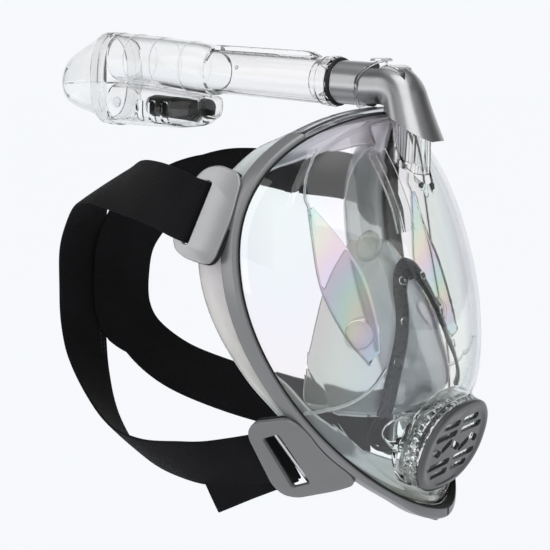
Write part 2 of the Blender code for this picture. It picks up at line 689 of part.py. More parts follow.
def make_oval_seal():
    """The oval O-ring where the chin pocket drains forwards, and the clear duct behind the purge valve."""
    up = Vector((0, math.sin(OVAL_TILT), math.cos(OVAL_TILT)))
    out = Vector((0, -math.cos(OVAL_TILT), math.sin(OVAL_TILT)))
    sections = []
    for k in range(32):
        angle = 2 * math.pi * k / 32
        radial = (Vector((1, 0, 0)) * math.cos(angle) * OVAL_HALF_H
                  + up * math.sin(angle) * OVAL_HALF_W).normalized()
        point = (OVAL_CENTRE + Vector((1, 0, 0)) * OVAL_HALF_W * math.cos(angle)
                 + up * OVAL_HALF_H * math.sin(angle))
        sections.append([point + radial * OVAL_WIRE * math.cos(t) + out * OVAL_WIRE * math.sin(t)
                         for t in (2 * math.pi * j / 6 for j in range(6))])
    finish(loft("oval_seal_ring", sections, closed=True), BLACK)

    rows = [oval(OVAL_CENTRE + out * 1.6, Vector((1, 0, 0)), up, OVAL_HALF_W, OVAL_HALF_H, 32),
            oval(OVAL_CENTRE + out * 9 + Vector((0, 0, -3.2)), Vector((1, 0, 0)), up.lerp(TILT_UP, 0.4),
                 21.5, 13.0, 32),
            oval(COVER_CENTRE + TILT_OUT * -19, Vector((1, 0, 0)), TILT_UP, 20.4, 18.5, 32)]
    duct = sheet("drain_duct", rows, 1.2, loop_columns=True)
    finish(duct, CLEAR)


# ============================== elbow and snorkel ===========================================
def elbow_path(steps=6):
    """The elbow's centre line and its radius at each point: level, then down and forwards, widening."""
    bend = (0, ELBOW_BEND_Y, HINGE.z - ELBOW_BEND_R)
    arc = arc_yz(bend, ELBOW_BEND_R, 90, 180 - ELBOW_LEAN, steps)
    lean = math.radians(ELBOW_LEAN)
    y, z = arc[-1]
    leg = [(y - math.sin(lean) * t, z - math.cos(lean) * t) for t in (5, 10, 15, 20, 25, 30)]
    path = [Vector((0, y, z)) for y, z in [(-30.0, HINGE.z)] + arc + leg]
    radii = [ELBOW_R] * 2 + [ELBOW_R + (FOOT_R - ELBOW_R) * (k / (len(path) - 5)) ** 1.5
                             for k in range(1, len(path) - 1)]
    return path, radii


def pipe_mesh(name, path, radii, sides=28, collection=PARTS):
    """A round bar along a path that lies in the YZ plane."""
    sections = []
    for i, (raw, radius) in enumerate(zip(path, radii)):
        point = Vector(raw)
        along = (Vector(path[min(i + 1, len(path) - 1)]) - Vector(path[max(i - 1, 0)])).normalized()
        side = Vector((1, 0, 0))
        up = side.cross(along)
        sections.append([point + side * radius * math.cos(t) + up * radius * math.sin(t)
                         for t in (2 * math.pi * k / sides for k in range(sides))])
    return loft(name, sections, collection=collection)


def foot_prism(name, drop):
    """Everything below the elbow's inclined foot, dropped by a few tenths where asked."""
    (y0, z0), (y1, z1) = BASE_REAR, BASE_FRONT
    return prism_x(name, [(y0, z0 - drop), (y1, z1 - drop), (y1, 40), (y0, 40)], 30)


def make_elbow():
    cowl = pipe_mesh("elbow_cowl", *elbow_path(), 28)
    rear = arc_yz(HINGE, CHEEK_R, 85, -85, 14)
    outer = [(HINGE.y + 2, HINGE.z - 40), (HINGE.y + 50, HINGE.z - 40), (HINGE.y + 50, HINGE.z + 40),
             (HINGE.y + 2, HINGE.z + 40)]
    boolean(cowl, prism_x("cowl_rear_cut", rear + outer, 30))
    boolean(cowl, prism_x("cowl_foot_cut", [(-20, 126.6), (BASE_REAR[0], 126.6), BASE_REAR, BASE_FRONT,
                                            (BASE_FRONT[0], 40), (-20, 40)], 30))
    cavity = arc_yz(HINGE, CAVITY_R, 128, 314, 24) + arc_yz(HINGE, 26, -46, 128, 12)
    boolean(cowl, prism_x("cowl_cavity", cavity, CAVITY_HALF))
    boolean(cowl, rod("cowl_airway", (0, PORT_Y, 70), (0, PORT_Y, 126), 8.5, 24))
    boolean(cowl, rod("cowl_pin_bore", HINGE + Vector((-20, 0, 0)), HINGE + Vector((20, 0, 0)),
                      PIN_R + GAP, 16))
    finish(cowl, SILVER)
    pin = rod("fold_pin", HINGE + Vector((-13.2, 0, 0)), HINGE + Vector((13.2, 0, 0)), PIN_R, 16, PARTS)
    finish(pin, STEEL)

    gasket = rod("elbow_gasket", (0, PORT_Y, 85), (0, PORT_Y, 130), PORT_R, 28, PARTS)
    boolean(gasket, rod("gasket_bore", (0, PORT_Y, 60), (0, PORT_Y, 140), PORT_R - PORT_WALL, 28))
    (y0, z0), (y1, z1) = BASE_REAR, BASE_FRONT
    boolean(gasket, prism_x("gasket_above", [(-40, z0 + 10), (y0, z0 - GAP), (y1, z1 - GAP), (y1, 160),
                                              (-40, 160)], 30))
    boolean(gasket, foot_prism("gasket_below", 1.5))
    boolean(gasket, prism_x("gasket_rear", [(y0 + 0.02, 60), (-30, 60), (-30, 150), (y0 + 0.02, 150)], 30))
    finish(gasket, BLACK, smooth=False)

    port = rod("air_port", (0, PORT_Y, 58), (0, PORT_Y, 130), PORT_R, 28, PARTS)
    boolean(port, rod("port_bore", (0, PORT_Y, 40), (0, PORT_Y, 140), PORT_R - PORT_WALL, 28))
    boolean(port, prism_x("port_above", [(-40, z0 + 10 - 1.8), (y0, z0 - 1.8), (y1, z1 - 1.8), (y1, 160),
                                          (-40, 160)], 30))
    boolean(port, prism_x("port_below", [(-40, 98), (y0, 92), (y1, 74), (y1, 40), (-40, 40)], 30))
    finish(port, CLEAR)


def make_knuckle():
    knuckle = rod("snorkel_knuckle", on_tube(14), on_tube(COLLAR_END), COLLAR_R, 36, PARTS)
    boolean(knuckle, rod("knuckle_hollow", HINGE + Vector((-30, 0, 0)), HINGE + Vector((30, 0, 0)),
                         COLLAR_START, 48))
    boolean(knuckle, rod("knuckle_drum", HINGE + Vector((-DRUM_HALF, 0, 0)),
                         HINGE + Vector((DRUM_HALF, 0, 0)), DRUM_R, 48), "UNION")
    neck = loft("knuckle_neck", [[on_tube(s, h, x) for x, h in
                                  ((-DRUM_HALF, -NECK_HALF), (DRUM_HALF, -NECK_HALF),
                                   (DRUM_HALF, NECK_HALF), (-DRUM_HALF, NECK_HALF))] for s in (4, 26)],
                collection=CUTTERS)
    boolean(knuckle, neck, "UNION")
    boolean(knuckle, rod("knuckle_spigot", on_tube(30), on_tube(SPIGOT_END), SPIGOT_R, 36), "UNION")
    boolean(knuckle, rod("knuckle_airway", on_tube(0), on_tube(70), AIRWAY_R, 24))
    boolean(knuckle, rod("knuckle_mouth_bore", on_tube(22), on_tube(70), SPIGOT_R - 2.4, 24))
    mouth = [(HINGE.y, HINGE.z)] + arc_yz(HINGE, 20, 150, 250, 8)
    boolean(knuckle, prism_x("knuckle_mouth", mouth, AIRWAY_R))
    boolean(knuckle, rod("knuckle_pin_bore", HINGE + Vector((-20, 0, 0)), HINGE + Vector((20, 0, 0)),
                         PIN_R + GAP, 16))
    finish(knuckle, SILVER)

    tongue = prism_x("slot_tongue", arc_yz(HINGE, 13.3, 58, 104, 10) + arc_yz(HINGE, 12.3, 104, 58, 10),
                     7.4, PARTS)
    finish(tongue, CLEAR, smooth=False)


def make_tube():
    o_ring_mid = (COLLAR_END + TUBE_START) / 2
    wire = (TUBE_START - COLLAR_END) / 2 - GAP
    ring = [(14.15 + wire * math.cos(t), o_ring_mid - COLLAR_END + wire * math.sin(t))
            for t in (math.pi / 2 - 2 * math.pi * k / 8 for k in range(8))]
    finish(turned("tube_o_ring", ring, on_tube(COLLAR_END), ALONG, 28), BLACK)

    bore = TUBE_R - TUBE_WALL
    length = TUBE_END - TUBE_START
    tube = turned("snorkel_tube", [(TUBE_R, length), (TUBE_R, 5.0), (TUBE_R + 1.2, 3.6), (TUBE_R + 1.2, 0),
                                   (bore, 0), (bore, length)], on_tube(TUBE_START), ALONG, 36)
    baked(tube)
    ridge = loft("tube_ridge", [[on_tube(s, h, x) for x, h in ((-5, TUBE_R - 1.4), (5, TUBE_R - 1.4),
                                                               (4.2, TUBE_R + top), (-4.2, TUBE_R + top))]
                                for s, top in ((60, 0.4), (66, 3.0), (TUBE_END, 3.0))], collection=CUTTERS)
    boolean(tube, ridge, "UNION")
    finish(tube, CLEAR)


def make_dry_top():
    # upper barrel that carries the air from the tube to the head
    start = TUBE_END + GAP
    outside = [tube_oval(start, 0.0, 16.4, 16.4), tube_oval(start + 8, 1.0, 17.2, 17.2),
               tube_oval(start + 50, 3.6, 17.8, 17.2), tube_oval(HEAD_END - GAP, 4.4, 18.4, 17.4)]
    barrel = loft("drytop_housing", outside)
    inside = [tube_oval(start - 5, 0.2, 13.0, 13.0), tube_oval(start + 8, 1.0, 15.4, 15.4),
              tube_oval(start + 50, 3.6, 16.0, 15.4), tube_oval(HEAD_END + 5, 4.4, 16.6, 15.6)]
    boolean(barrel, loft("barrel_bore", inside, collection=CUTTERS))
    finish(barrel, CLEAR)

    # float chamber hanging under the barrel, with side windows between its ribs
    def chamber(s, bottom, half, top):
        mid = (top + bottom) / 2
        return tube_oval(s, mid, half, (top - bottom) / 2, 28, 3.0)
    cage = loft("float_cage", [chamber(151, -28, 10.5, -17.0), chamber(153, -34, 14.2, -16.9),
                               chamber(160, -39, 15.8, -16.7), chamber(172, -41.5, 16.6, -16.0),
                               chamber(200, -43, 17.0, -14.4), chamber(HEAD_END - GAP, -44.5, 17.5, -14.0)])
    hollow = loft("cage_hollow", [chamber(153.6, -31, 12.0, -18.6), chamber(160, -37.2, 14.0, -18.4),
                                  chamber(172, -39.6, 14.8, -17.8), chamber(200, -41.2, 15.2, -16.2),
                                  chamber(HEAD_END + 5, -42.6, 15.7, -15.8)],
                  collection=CUTTERS)
    boolean(cage, hollow)
    for number, s in enumerate((182, 194, 206), 1):
        boolean(cage, loft(f"cage_window_{number}",
                           [[on_tube(s + a, h, x) for a, h in ((-3, -38), (3, -38), (3, -24), (-3, -24))]
                            for x in (-30, 30)], collection=CUTTERS))
    finish(cage, CLEAR)

    # the black float and its soft seal, which slide together
    def float_section(s, grow):
        return tube_oval(s, -28.0, 11.4 + grow, 8.2 + grow, 24, 3.0)
    body = loft("float", [float_section(FLOAT_START, -2.5), float_section(FLOAT_START + 2.5, 0),
                          float_section(FLOAT_END - 2.0, 0), float_section(FLOAT_END, -1.6)])
    finish(body, BLACK)
    pad = loft("float_seal", [float_section(FLOAT_END + GAP, -1.0), float_section(FLOAT_END + 2.0, -1.0),
                              float_section(FLOAT_END + 3.2, -3.0)])
    finish(pad, SILICONE)

    # ring that joins the head to the nose cone
    def ring_section(s, grow):
        return tube_oval(s, -11.8, 20.6 + grow, 34.0 + grow, 36, 2.4)
    band = loft("band_ring", [ring_section(HEAD_END, -0.8), ring_section(HEAD_END + 1.2, 0),
                              ring_section(RING_END - 1.2, 0), ring_section(RING_END, -0.8)])
    boolean(band, loft("band_bore", [ring_section(HEAD_END - 5, -2.8), ring_section(RING_END + 5, -2.8)],
                       collection=CUTTERS))
    finish(band, CLEAR)

    # nose cone, open at the band
    def cone(s, top, bottom, half, shrink, count=36):
        mid = (top + bottom) / 2
        return tube_oval(s, mid, half - shrink, (top - bottom) / 2 - shrink, count, 2.3)
    start = RING_END + GAP
    shape = [(start, 21.4, -45.0, 20.0), (start + 10, 16.5, -40.0, 18.6), (start + 21, 9.5, -35.5, 16.4),
             (start + 32, 1.5, -31.5, 12.8), (start + 40, -6.0, -28.0, 8.6), (NOSE_END, -12.5, -24.0, 3.6)]
    nose = loft("nose_cone", [cone(*row, 0.0) for row in shape])
    inner = [cone(start - 5, 24.0, -47.0, 21.2, HEAD_WALL, 30)]
    inner += [cone(*row, HEAD_WALL, 30) for row in shape[1:5]]
    boolean(nose, loft("nose_hollow", inner, collection=CUTTERS))
    finish(nose, CLEAR)


# ============================== straps ======================================================
def make_strap(name, stations, width=STRAP_WIDTH, thick=STRAP_THICK, per_span=2):
    centres = spline_points([s[0] for s in stations], per_span)
    edges = spline_points([s[1] for s in stations], per_span)
    sections = []
    for i, (centre, edge) in enumerate(zip(centres, edges)):
        along = (centres[min(i + 1, len(centres) - 1)] - centres[max(i - 1, 0)]).normalized()
        across = (edge - along * along.dot(edge)).normalized()
        normal = along.cross(across)
        sections.append([centre + across * a * width / 2 + normal * b * thick / 2
                         for a, b in ((-1, -1), (1, -1), (1, 1), (-1, 1))])
    return finish(loft(name, sections), BLACK, smooth=False)


def make_straps():
    make_strap("strap_right", STRAP_RIGHT)
    make_strap("strap_left", STRAP_LEFT)
    for word, sign in (("right", -1), ("left", 1)):
        tail = [((sign * 56, 40, -121), (-.2 * sign, -.45, -.87)),
                ((sign * 54, 17, -111), (-.3 * sign, -.35, -.88)),
                ((sign * 48.5, -8, -101), (-.4 * sign, -.3, -.86))]
        make_strap(f"strap_tail_{word}", tail)


def on_axis(names, point, axis):
    """Hang pieces from an empty that stands on their joint's axis; the pieces stay where they are."""
    empty = bpy.data.objects.new(names[0] + "_axis", None)
    empty.empty_display_size = 0.01
    PARTS.objects.link(empty)
    empty.matrix_world = (Matrix.Translation(Vector(point) * MM)
                          @ Vector(axis).to_track_quat("Z", "Y").to_matrix().to_4x4())
    for name in names:
        piece = bpy.data.objects[name]
        place = piece.matrix_world.copy()
        piece.parent = empty
        piece.matrix_parent_inverse = empty.matrix_world.inverted()
        piece.matrix_basis = place
    return empty


make_lens()
make_band()
make_chin_screw()
make_tabs()
make_skirt()
make_cup()
make_arch()
make_inhale_valves()
make_exhale_duct()
make_drain()
make_oval_seal()
make_elbow()
make_knuckle()
make_tube()
make_dry_top()
make_straps()
fold_axis = on_axis(["snorkel_knuckle", "slot_tongue", "tube_o_ring", "snorkel_tube", "drytop_housing",
                     "float_cage", "band_ring", "nose_cone"], HINGE, (1, 0, 0))
float_axis = on_axis(["float", "float_seal"], on_tube(FLOAT_START, -28.0), ALONG)
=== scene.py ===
"""Looks of the full-face snorkel mask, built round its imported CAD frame.

Lengths are in millimetres in the CAD frame (+Y back through the head, +Z up) and become metres where a mesh
is made. Every piece rides on the CAD body that it belongs to.
"""
import math

import bmesh
import bpy
from mathutils import Matrix, Vector


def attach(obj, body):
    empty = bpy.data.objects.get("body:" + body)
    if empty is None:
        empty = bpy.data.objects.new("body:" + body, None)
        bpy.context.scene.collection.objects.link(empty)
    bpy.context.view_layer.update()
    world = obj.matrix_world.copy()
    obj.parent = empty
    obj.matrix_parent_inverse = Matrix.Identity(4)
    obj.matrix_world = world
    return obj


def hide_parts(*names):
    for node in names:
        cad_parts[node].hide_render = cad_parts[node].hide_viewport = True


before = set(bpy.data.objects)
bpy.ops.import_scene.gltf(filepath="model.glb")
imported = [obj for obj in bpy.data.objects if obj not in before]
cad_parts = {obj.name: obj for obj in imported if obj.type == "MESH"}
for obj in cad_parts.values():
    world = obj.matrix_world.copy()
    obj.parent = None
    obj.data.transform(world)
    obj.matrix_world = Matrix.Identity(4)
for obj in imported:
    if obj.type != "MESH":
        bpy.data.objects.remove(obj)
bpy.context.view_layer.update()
MM = 0.001
ACROSS = Vector((1, 0, 0))

# --- rim and lens ------------------------------------------------------------------------------
RIM_HALF_WIDTH, RIM_CENTRE_Z = 89.0, 18.0
RIM_UP, RIM_UP_POWER = 103.5, 2.35
RIM_DOWN, RIM_DOWN_POWER = 143.0, 1.83
RIM_LEAN, RIM_APEX_Y = 0.179, -74.8
RIM_WRAP, RIM_WRAP_POWER = 73.0, 1.6
RIM_STEPS = 192
LENS_WALL, LENS_POWER = 2.4, 2.2
LENS_DEPTH = [(-125, 2), (-112, 5), (-88, 12), (-62, 24), (-45, 31), (-20, 33.5), (10, 33),
              (45, 30), (80, 26), (105, 18), (125, 10)]
BAND_OUT, BAND_IN = 4.35, 0.35
BAND_FRONT, BAND_REAR = -6.2, 5.6
BAND_FORWARD, CHIN_THICKER = 3.2, 3.8
BRIDGE_HALF_ANGLE = 31.0

# --- elbow and snorkel -------------------------------------------------------------------------
HINGE = Vector((0.0, -57.0, 137.5))
TUBE_PITCH = math.radians(3.0)
DRUM_R, DRUM_HALF = 12.0, 8.2
CAVITY_R, CAVITY_HALF = 13.6, 8.6
CHEEK_R = 20.0
COLLAR_START, COLLAR_END, COLLAR_R = 20.5, 40.0, 13.8
SPIGOT_END, SPIGOT_R, SPIGOT_WALL = 58.0, 12.4, 2.2
NECK_HALF = 9.7
TUBE_START, TUBE_END, TUBE_R, TUBE_WALL = 43.4, 146.0, 15.0, 2.1
HEAD_END, RING_END, NOSE_END = 239.0, 254.0, 299.0
FLOAT_START, FLOAT_END = 157.0, 203.0
ELBOW_R, FOOT_R = 14.0, 17.5
ELBOW_BEND_Y, ELBOW_BEND_R, ELBOW_LEAN = -52.5, 12.0, 16.0
PORT_Y, PORT_R, PORT_WALL = -70.4, 12.2, 2.2
BASE_REAR, BASE_FRONT = (-58.2, 122.9), (-110.0, 93.0)

# --- chin drain --------------------------------------------------------------------------------
COVER_CENTRE = Vector((0.0, -104.4, -84.0))
COVER_HALF_W, COVER_HALF_H, COVER_POWER = 37.8, 30.6, 2.3
COVER_TILT = math.radians(15.6)
TILT_UP = Vector((0, -math.sin(COVER_TILT), math.cos(COVER_TILT)))
TILT_OUT = Vector((0, -math.cos(COVER_TILT), -math.sin(COVER_TILT)))
OVAL_CENTRE = Vector((0.0, -61.0, -83.0))
OVAL_HALF_W, OVAL_HALF_H, OVAL_WIRE = 23.0, 9.5, 0.9
OVAL_TILT = math.radians(20.0)
RING_WIDER, RING_HIGHER, RING_THICKER = 4.0, 2.0, 0.45

# --- straps: centre of the webbing, then the direction of its outer edge -------------------------
STRAP_WIDTH, STRAP_THICK = 40.0, 1.8
STRAP_RIGHT = [
    ((-87.9, 24.9, 59.7), (.35, -.2, .915)), ((-92.8, 24.3, 61.4), (.35, -.2, .915)),
    ((-95.6, 26.4, 63.0), (.35, -.2, .915)), ((-96.2, 34.2, 64.8), (.35, -.18, .915)),
    ((-93.5, 56, 70), (.36, -.10, .92)),
    ((-82, 92, 72), (.52, -.1, .84)), ((-64, 131, 69), (.78, -.1, .50)),
    ((-47, 164, 60), (.90, -.1, .36)), ((-33, 191, 40), (.93, -.12, .28)),
    ((-24, 207, 14), (.97, -.18, .10)), ((-20.6, 212, -15), (.98, -.2, 0)),
    ((-20.6, 212, -45), (.98, -.18, -.05)), ((-24, 203, -77), (.93, -.05, -.33)),
    ((-34, 178, -104), (.84, .1, -.53)), ((-49, 140, -118), (.76, .22, -.58)),
    ((-62, 97, -119), (.65, .30, -.68)), ((-68, 52, -113), (.45, .25, -.84)),
    ((-62, 18, -105.8), (.44, -.05, -.89)), ((-54, -16.6, -95.8), (.46, -.315, -.83))]
STRAP_LEFT = [
    ((87.9, 24.9, 59.7), (-.35, -.2, .915)), ((92.8, 24.3, 61.4), (-.35, -.2, .915)),
    ((95.6, 26.4, 63.0), (-.35, -.2, .915)), ((96.2, 34.2, 64.8), (-.35, -.18, .915)),
    ((93.5, 56, 68), (-.36, -.10, .92)),
    ((84, 92, 69), (-.50, -.1, .86)), ((68, 132, 72), (-.72, -.05, .62)),
    ((51, 163, 61), (-.84, .0, .52)), ((37, 185, 38), (-.90, .1, .38)),
    ((24, 199, 12), (-.97, .18, .12)), ((20.6, 204, -15), (-.98, .2, 0)),
    ((21.5, 204, -42), (-.98, .18, -.1)), ((28, 195, -65), (-.9, .15, -.42)),
    ((41, 172, -86), (-.72, .2, -.66)), ((57, 135, -100), (-.52, .2, -.8)),
    ((68, 92, -107), (-.42, .1, -.9)), ((71, 48, -108), (-.42, .0, -.9)),
    ((62, 18, -105.8), (-.44, -.05, -.89)), ((54, -16.6, -95.8), (-.46, -.315, -.83))]

# --- tabs: origin and axes of each plate's own plane, then outline along (rear, up) ---------------
UPPER_TAB = dict(origin=(-91.3, 2.5, 56), rear=(-.046, .972, .231), up=(.350, -.195, .915),
                 outline=[(-2, -27), (18, -29), (28, -26.5), (33, -20), (34, 20), (29, 28),
                          (20, 32.5), (6, 32), (1, 27), (-2.5, 5)],
                 slot=[(20.5, -20.5), (24.5, -20.5), (24.5, 20.5), (20.5, 20.5)], thick=3.0)
LOWER_TAB = dict(origin=(-62.5, -54, -81.5), rear=(-.089, .913, -.397), up=(-.463, .315, .828),
                 outline=[(-4, -30), (12, -31), (43, -29), (52, -24), (54.5, -14), (47, 24),
                          (43, 30), (35, 33), (13, 29), (8, 24), (0, 3), (-3, -12)],
                 slot=[(27, -20.5), (42, -20.5), (38, 20.5), (24, 20.5)], thick=3.6)

# --- camera ------------------------------------------------------------------------------------
CAMERA_TARGET = Vector((-0.0279, 0.0158, 0.0141))
CAMERA_AZIMUTH, CAMERA_ELEVATION, CAMERA_DISTANCE = 51.0, 10.5, 0.80
CAMERA_LENS = 79.6


# ============================== mesh helpers ====================================================
def spline(points, per_span):
    """Catmull-Rom points through the given ones, whatever their number of coordinates."""
    pts = [Vector(p) for p in points]
    pts = [pts[0] * 2 - pts[1]] + pts + [pts[-1] * 2 - pts[-2]]
    result = []
    for i in range(1, len(pts) - 2):
        a, b, c, d = pts[i - 1:i + 3]
        for k in range(per_span):
            t = k / per_span
            result.append(0.5 * (2 * b + (c - a) * t + (2 * a - 5 * b + 4 * c - d) * t * t
                                 + (3 * b - a - 3 * c + d) * t ** 3))
    result.append(pts[-2])
    return result


def fillet(points, radius, steps=6):
    """Round each corner of a closed outline."""
    result = []
    count = len(points)
    for i in range(count):
        before, at, after = (Vector(points[(i + k) % count]) for k in (-1, 0, 1))
        reach = min(radius, (before - at).length * 0.45, (after - at).length * 0.45)
        a = at + (before - at).normalized() * reach
        b = at + (after - at).normalized() * reach
        for k in range(steps + 1):
            t = k / steps
            result.append(a * (1 - t) ** 2 + at * 2 * t * (1 - t) + b * t ** 2)
    return result


def oval(centre, across, up, half_w, half_h, count, power=2.0):
    """Points round a superellipse in the plane of two unit vectors."""
    result = []
    for k in range(count):
        angle = 2 * math.pi * k / count
        c, s = math.cos(angle), math.sin(angle)
        size = (abs(c) ** power + abs(s) ** power) ** (-1 / power)
        result.append(centre + across * (half_w * c * size) + up * (half_h * s * size))
    return result


def arc_yz(centre, radius, start_deg, end_deg, steps):
    return [(centre[1] + radius * math.cos(math.radians(a)), centre[2] + radius * math.sin(math.radians(a)))
            for a in (start_deg + (end_deg - start_deg) * k / steps for k in range(steps + 1))]


def outwards(bm):
    """Make a closed mesh's faces point out."""
    bmesh.ops.recalc_face_normals(bm, faces=bm.faces)
    if bm.calc_volume(signed=True) < 0:
        bmesh.ops.reverse_faces(bm, faces=bm.faces)


def add_object(name, data):
    obj = bpy.data.objects.new(name, data)
    bpy.context.scene.collection.objects.link(obj)
    return obj


def mesh_from(bm, name):
    mesh = bpy.data.meshes.new(name)
    bm.to_mesh(mesh)
    bm.free()
    return mesh


def mesh_object(name, points, faces, closed=True, sharp_deg=40):
    bm = bmesh.new()
    verts = [bm.verts.new(Vector(p) * MM) for p in points]
    for face in faces:
        bm.faces.new([verts[i] for i in face])
    if closed:
        outwards(bm)
    return shade(add_object(name, mesh_from(bm, name)), sharp_deg)


def shade(obj, sharp_deg=40):
    obj.data.shade_smooth()
    if sharp_deg:
        obj.data.set_sharp_from_angle(angle=math.radians(sharp_deg))
    return obj


def grid_faces(rows, columns, loop_rows=False, loop_columns=True):
    """Quads over a grid of points that are numbered row by row."""
    faces = []
    for i in range(rows if loop_rows else rows - 1):
        j = (i + 1) % rows
        for k in range(columns if loop_columns else columns - 1):
            m = (k + 1) % columns
            faces.append((i * columns + k, i * columns + m, j * columns + m, j * columns + k))
    return faces


def heading(path, i):
    """The direction of an open path at one of its points."""
    return (path[min(i + 1, len(path) - 1)] - path[max(i - 1, 0)]).normalized()


def loft(name, sections, closed=False, sharp_deg=40):
    """A closed solid skinned through sections of equal count; an open run gets flat ends."""
    n = len(sections[0])
    points = [p for s in sections for p in s]
    faces = grid_faces(len(sections), n, loop_rows=closed)
    if not closed:
        faces += [tuple(range(n)), tuple((len(sections) - 1) * n + k for k in range(n))]
    return mesh_object(name, points, faces, sharp_deg=sharp_deg)


def sheet(name, rows, wall, loop_rows=False, loop_columns=False, offset=-1.0):
    """An open grid of points, thickened by Solidify."""
    n = len(rows[0])
    points = [p for r in rows for p in r]
    faces = grid_faces(len(rows), n, loop_rows, loop_columns)
    obj = mesh_object(name, points, faces, closed=False, sharp_deg=60)
    return thicken(obj, wall, offset)


def thicken(obj, wall, offset=-1.0):
    mod = obj.modifiers.new("wall", "SOLIDIFY")
    mod.thickness = wall * MM
    mod.offset = offset
    mod.use_even_offset = True
    mod.use_quality_normals = True
    return obj


def bevel(obj, width, segments=3, angle_deg=35):
    mod = obj.modifiers.new("edges", "BEVEL")
    mod.width = width * MM
    mod.segments = segments
    mod.limit_method = "ANGLE"
    mod.angle_limit = math.radians(angle_deg)
    mod.harden_normals = False
    return obj


def cut(obj, cutter, operation="DIFFERENCE"):
    """Boolean one object with another, which is then removed."""
    mod = obj.modifiers.new("cut", "BOOLEAN")
    mod.operation = operation
    mod.solver = "EXACT"
    mod.object = cutter
    bake(obj)
    bpy.data.objects.remove(cutter, do_unlink=True)
    return obj


def bake(obj, sharp_deg=40):
    """Apply an object's modifiers to its mesh."""
    graph = bpy.context.evaluated_depsgraph_get()
    graph.update()
    mesh = bpy.data.meshes.new_from_object(obj.evaluated_get(graph))
    obj.modifiers.clear()
    obj.data = mesh
    return shade(obj, sharp_deg)


def rod(name, start, end, radius, sides=48, end_radius=None):
    """A cylinder or cone between two points."""
    start, end = Vector(start), Vector(end)
    axis = (end - start).normalized()
    side = axis.orthogonal().normalized()
    up = axis.cross(side)
    last = radius if end_radius is None else end_radius
    return loft(name, [oval(start, side, up, radius, radius, sides), oval(end, side, up, last, last, sides)])


def turned(name, profile, centre, axis, sides=64):
    """A closed (radius, distance) profile turned about an axis; radius 0 lies on the axis."""
    axis = Vector(axis).normalized()
    side = axis.orthogonal().normalized()
    up = axis.cross(side)
    sections = []
    for k in range(sides):
        angle = 2 * math.pi * k / sides
        out = side * math.cos(angle) + up * math.sin(angle)
        sections.append([Vector(centre) + out * max(r, 0.001) + axis * h for r, h in profile])
    obj = loft(name, sections, closed=True)
    bm = bmesh.new()
    bm.from_mesh(obj.data)
    bmesh.ops.remove_doubles(bm, verts=bm.verts, dist=0.000004)
    bmesh.ops.dissolve_degenerate(bm, edges=bm.edges, dist=0.000001)
    outwards(bm)
    bm.to_mesh(obj.data)
    bm.free()
    return shade(obj)


def wire(name, path, radius, sides=12, closed=False):
    """A round wire along a path of points."""
    path = [Vector(p) for p in path]
    count = len(path)
    sections = []
    side = None
    for i, point in enumerate(path):
        if closed:
            along = (path[(i + 1) % count] - path[i - 1]).normalized()
        else:
            along = heading(path, i)
        side = along.orthogonal() if side is None else side - along * side.dot(along)
        side.normalize()
        up = along.cross(side)
        size = radius[i] if isinstance(radius, list) else radius
        sections.append(oval(point, side, up, size, size, sides))
    return loft(name, sections, closed=closed)


def prism_x(name, outline_yz, half_width):
    left = [Vector((-half_width, y, z)) for y, z in outline_yz]
    right = [Vector((half_width, y, z)) for y, z in outline_yz]
    return loft(name, [left, right])


def place(obj, body, material, replaced=()):
    """Give a piece its material, its body and the CAD nodes that it stands for."""
    obj.data.materials.clear()
    for item in material if isinstance(material, list) else [material]:
        obj.data.materials.append(item)
    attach(obj, body)
    if replaced:
        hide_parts(*([replaced] if isinstance(replaced, str) else replaced))
    return obj


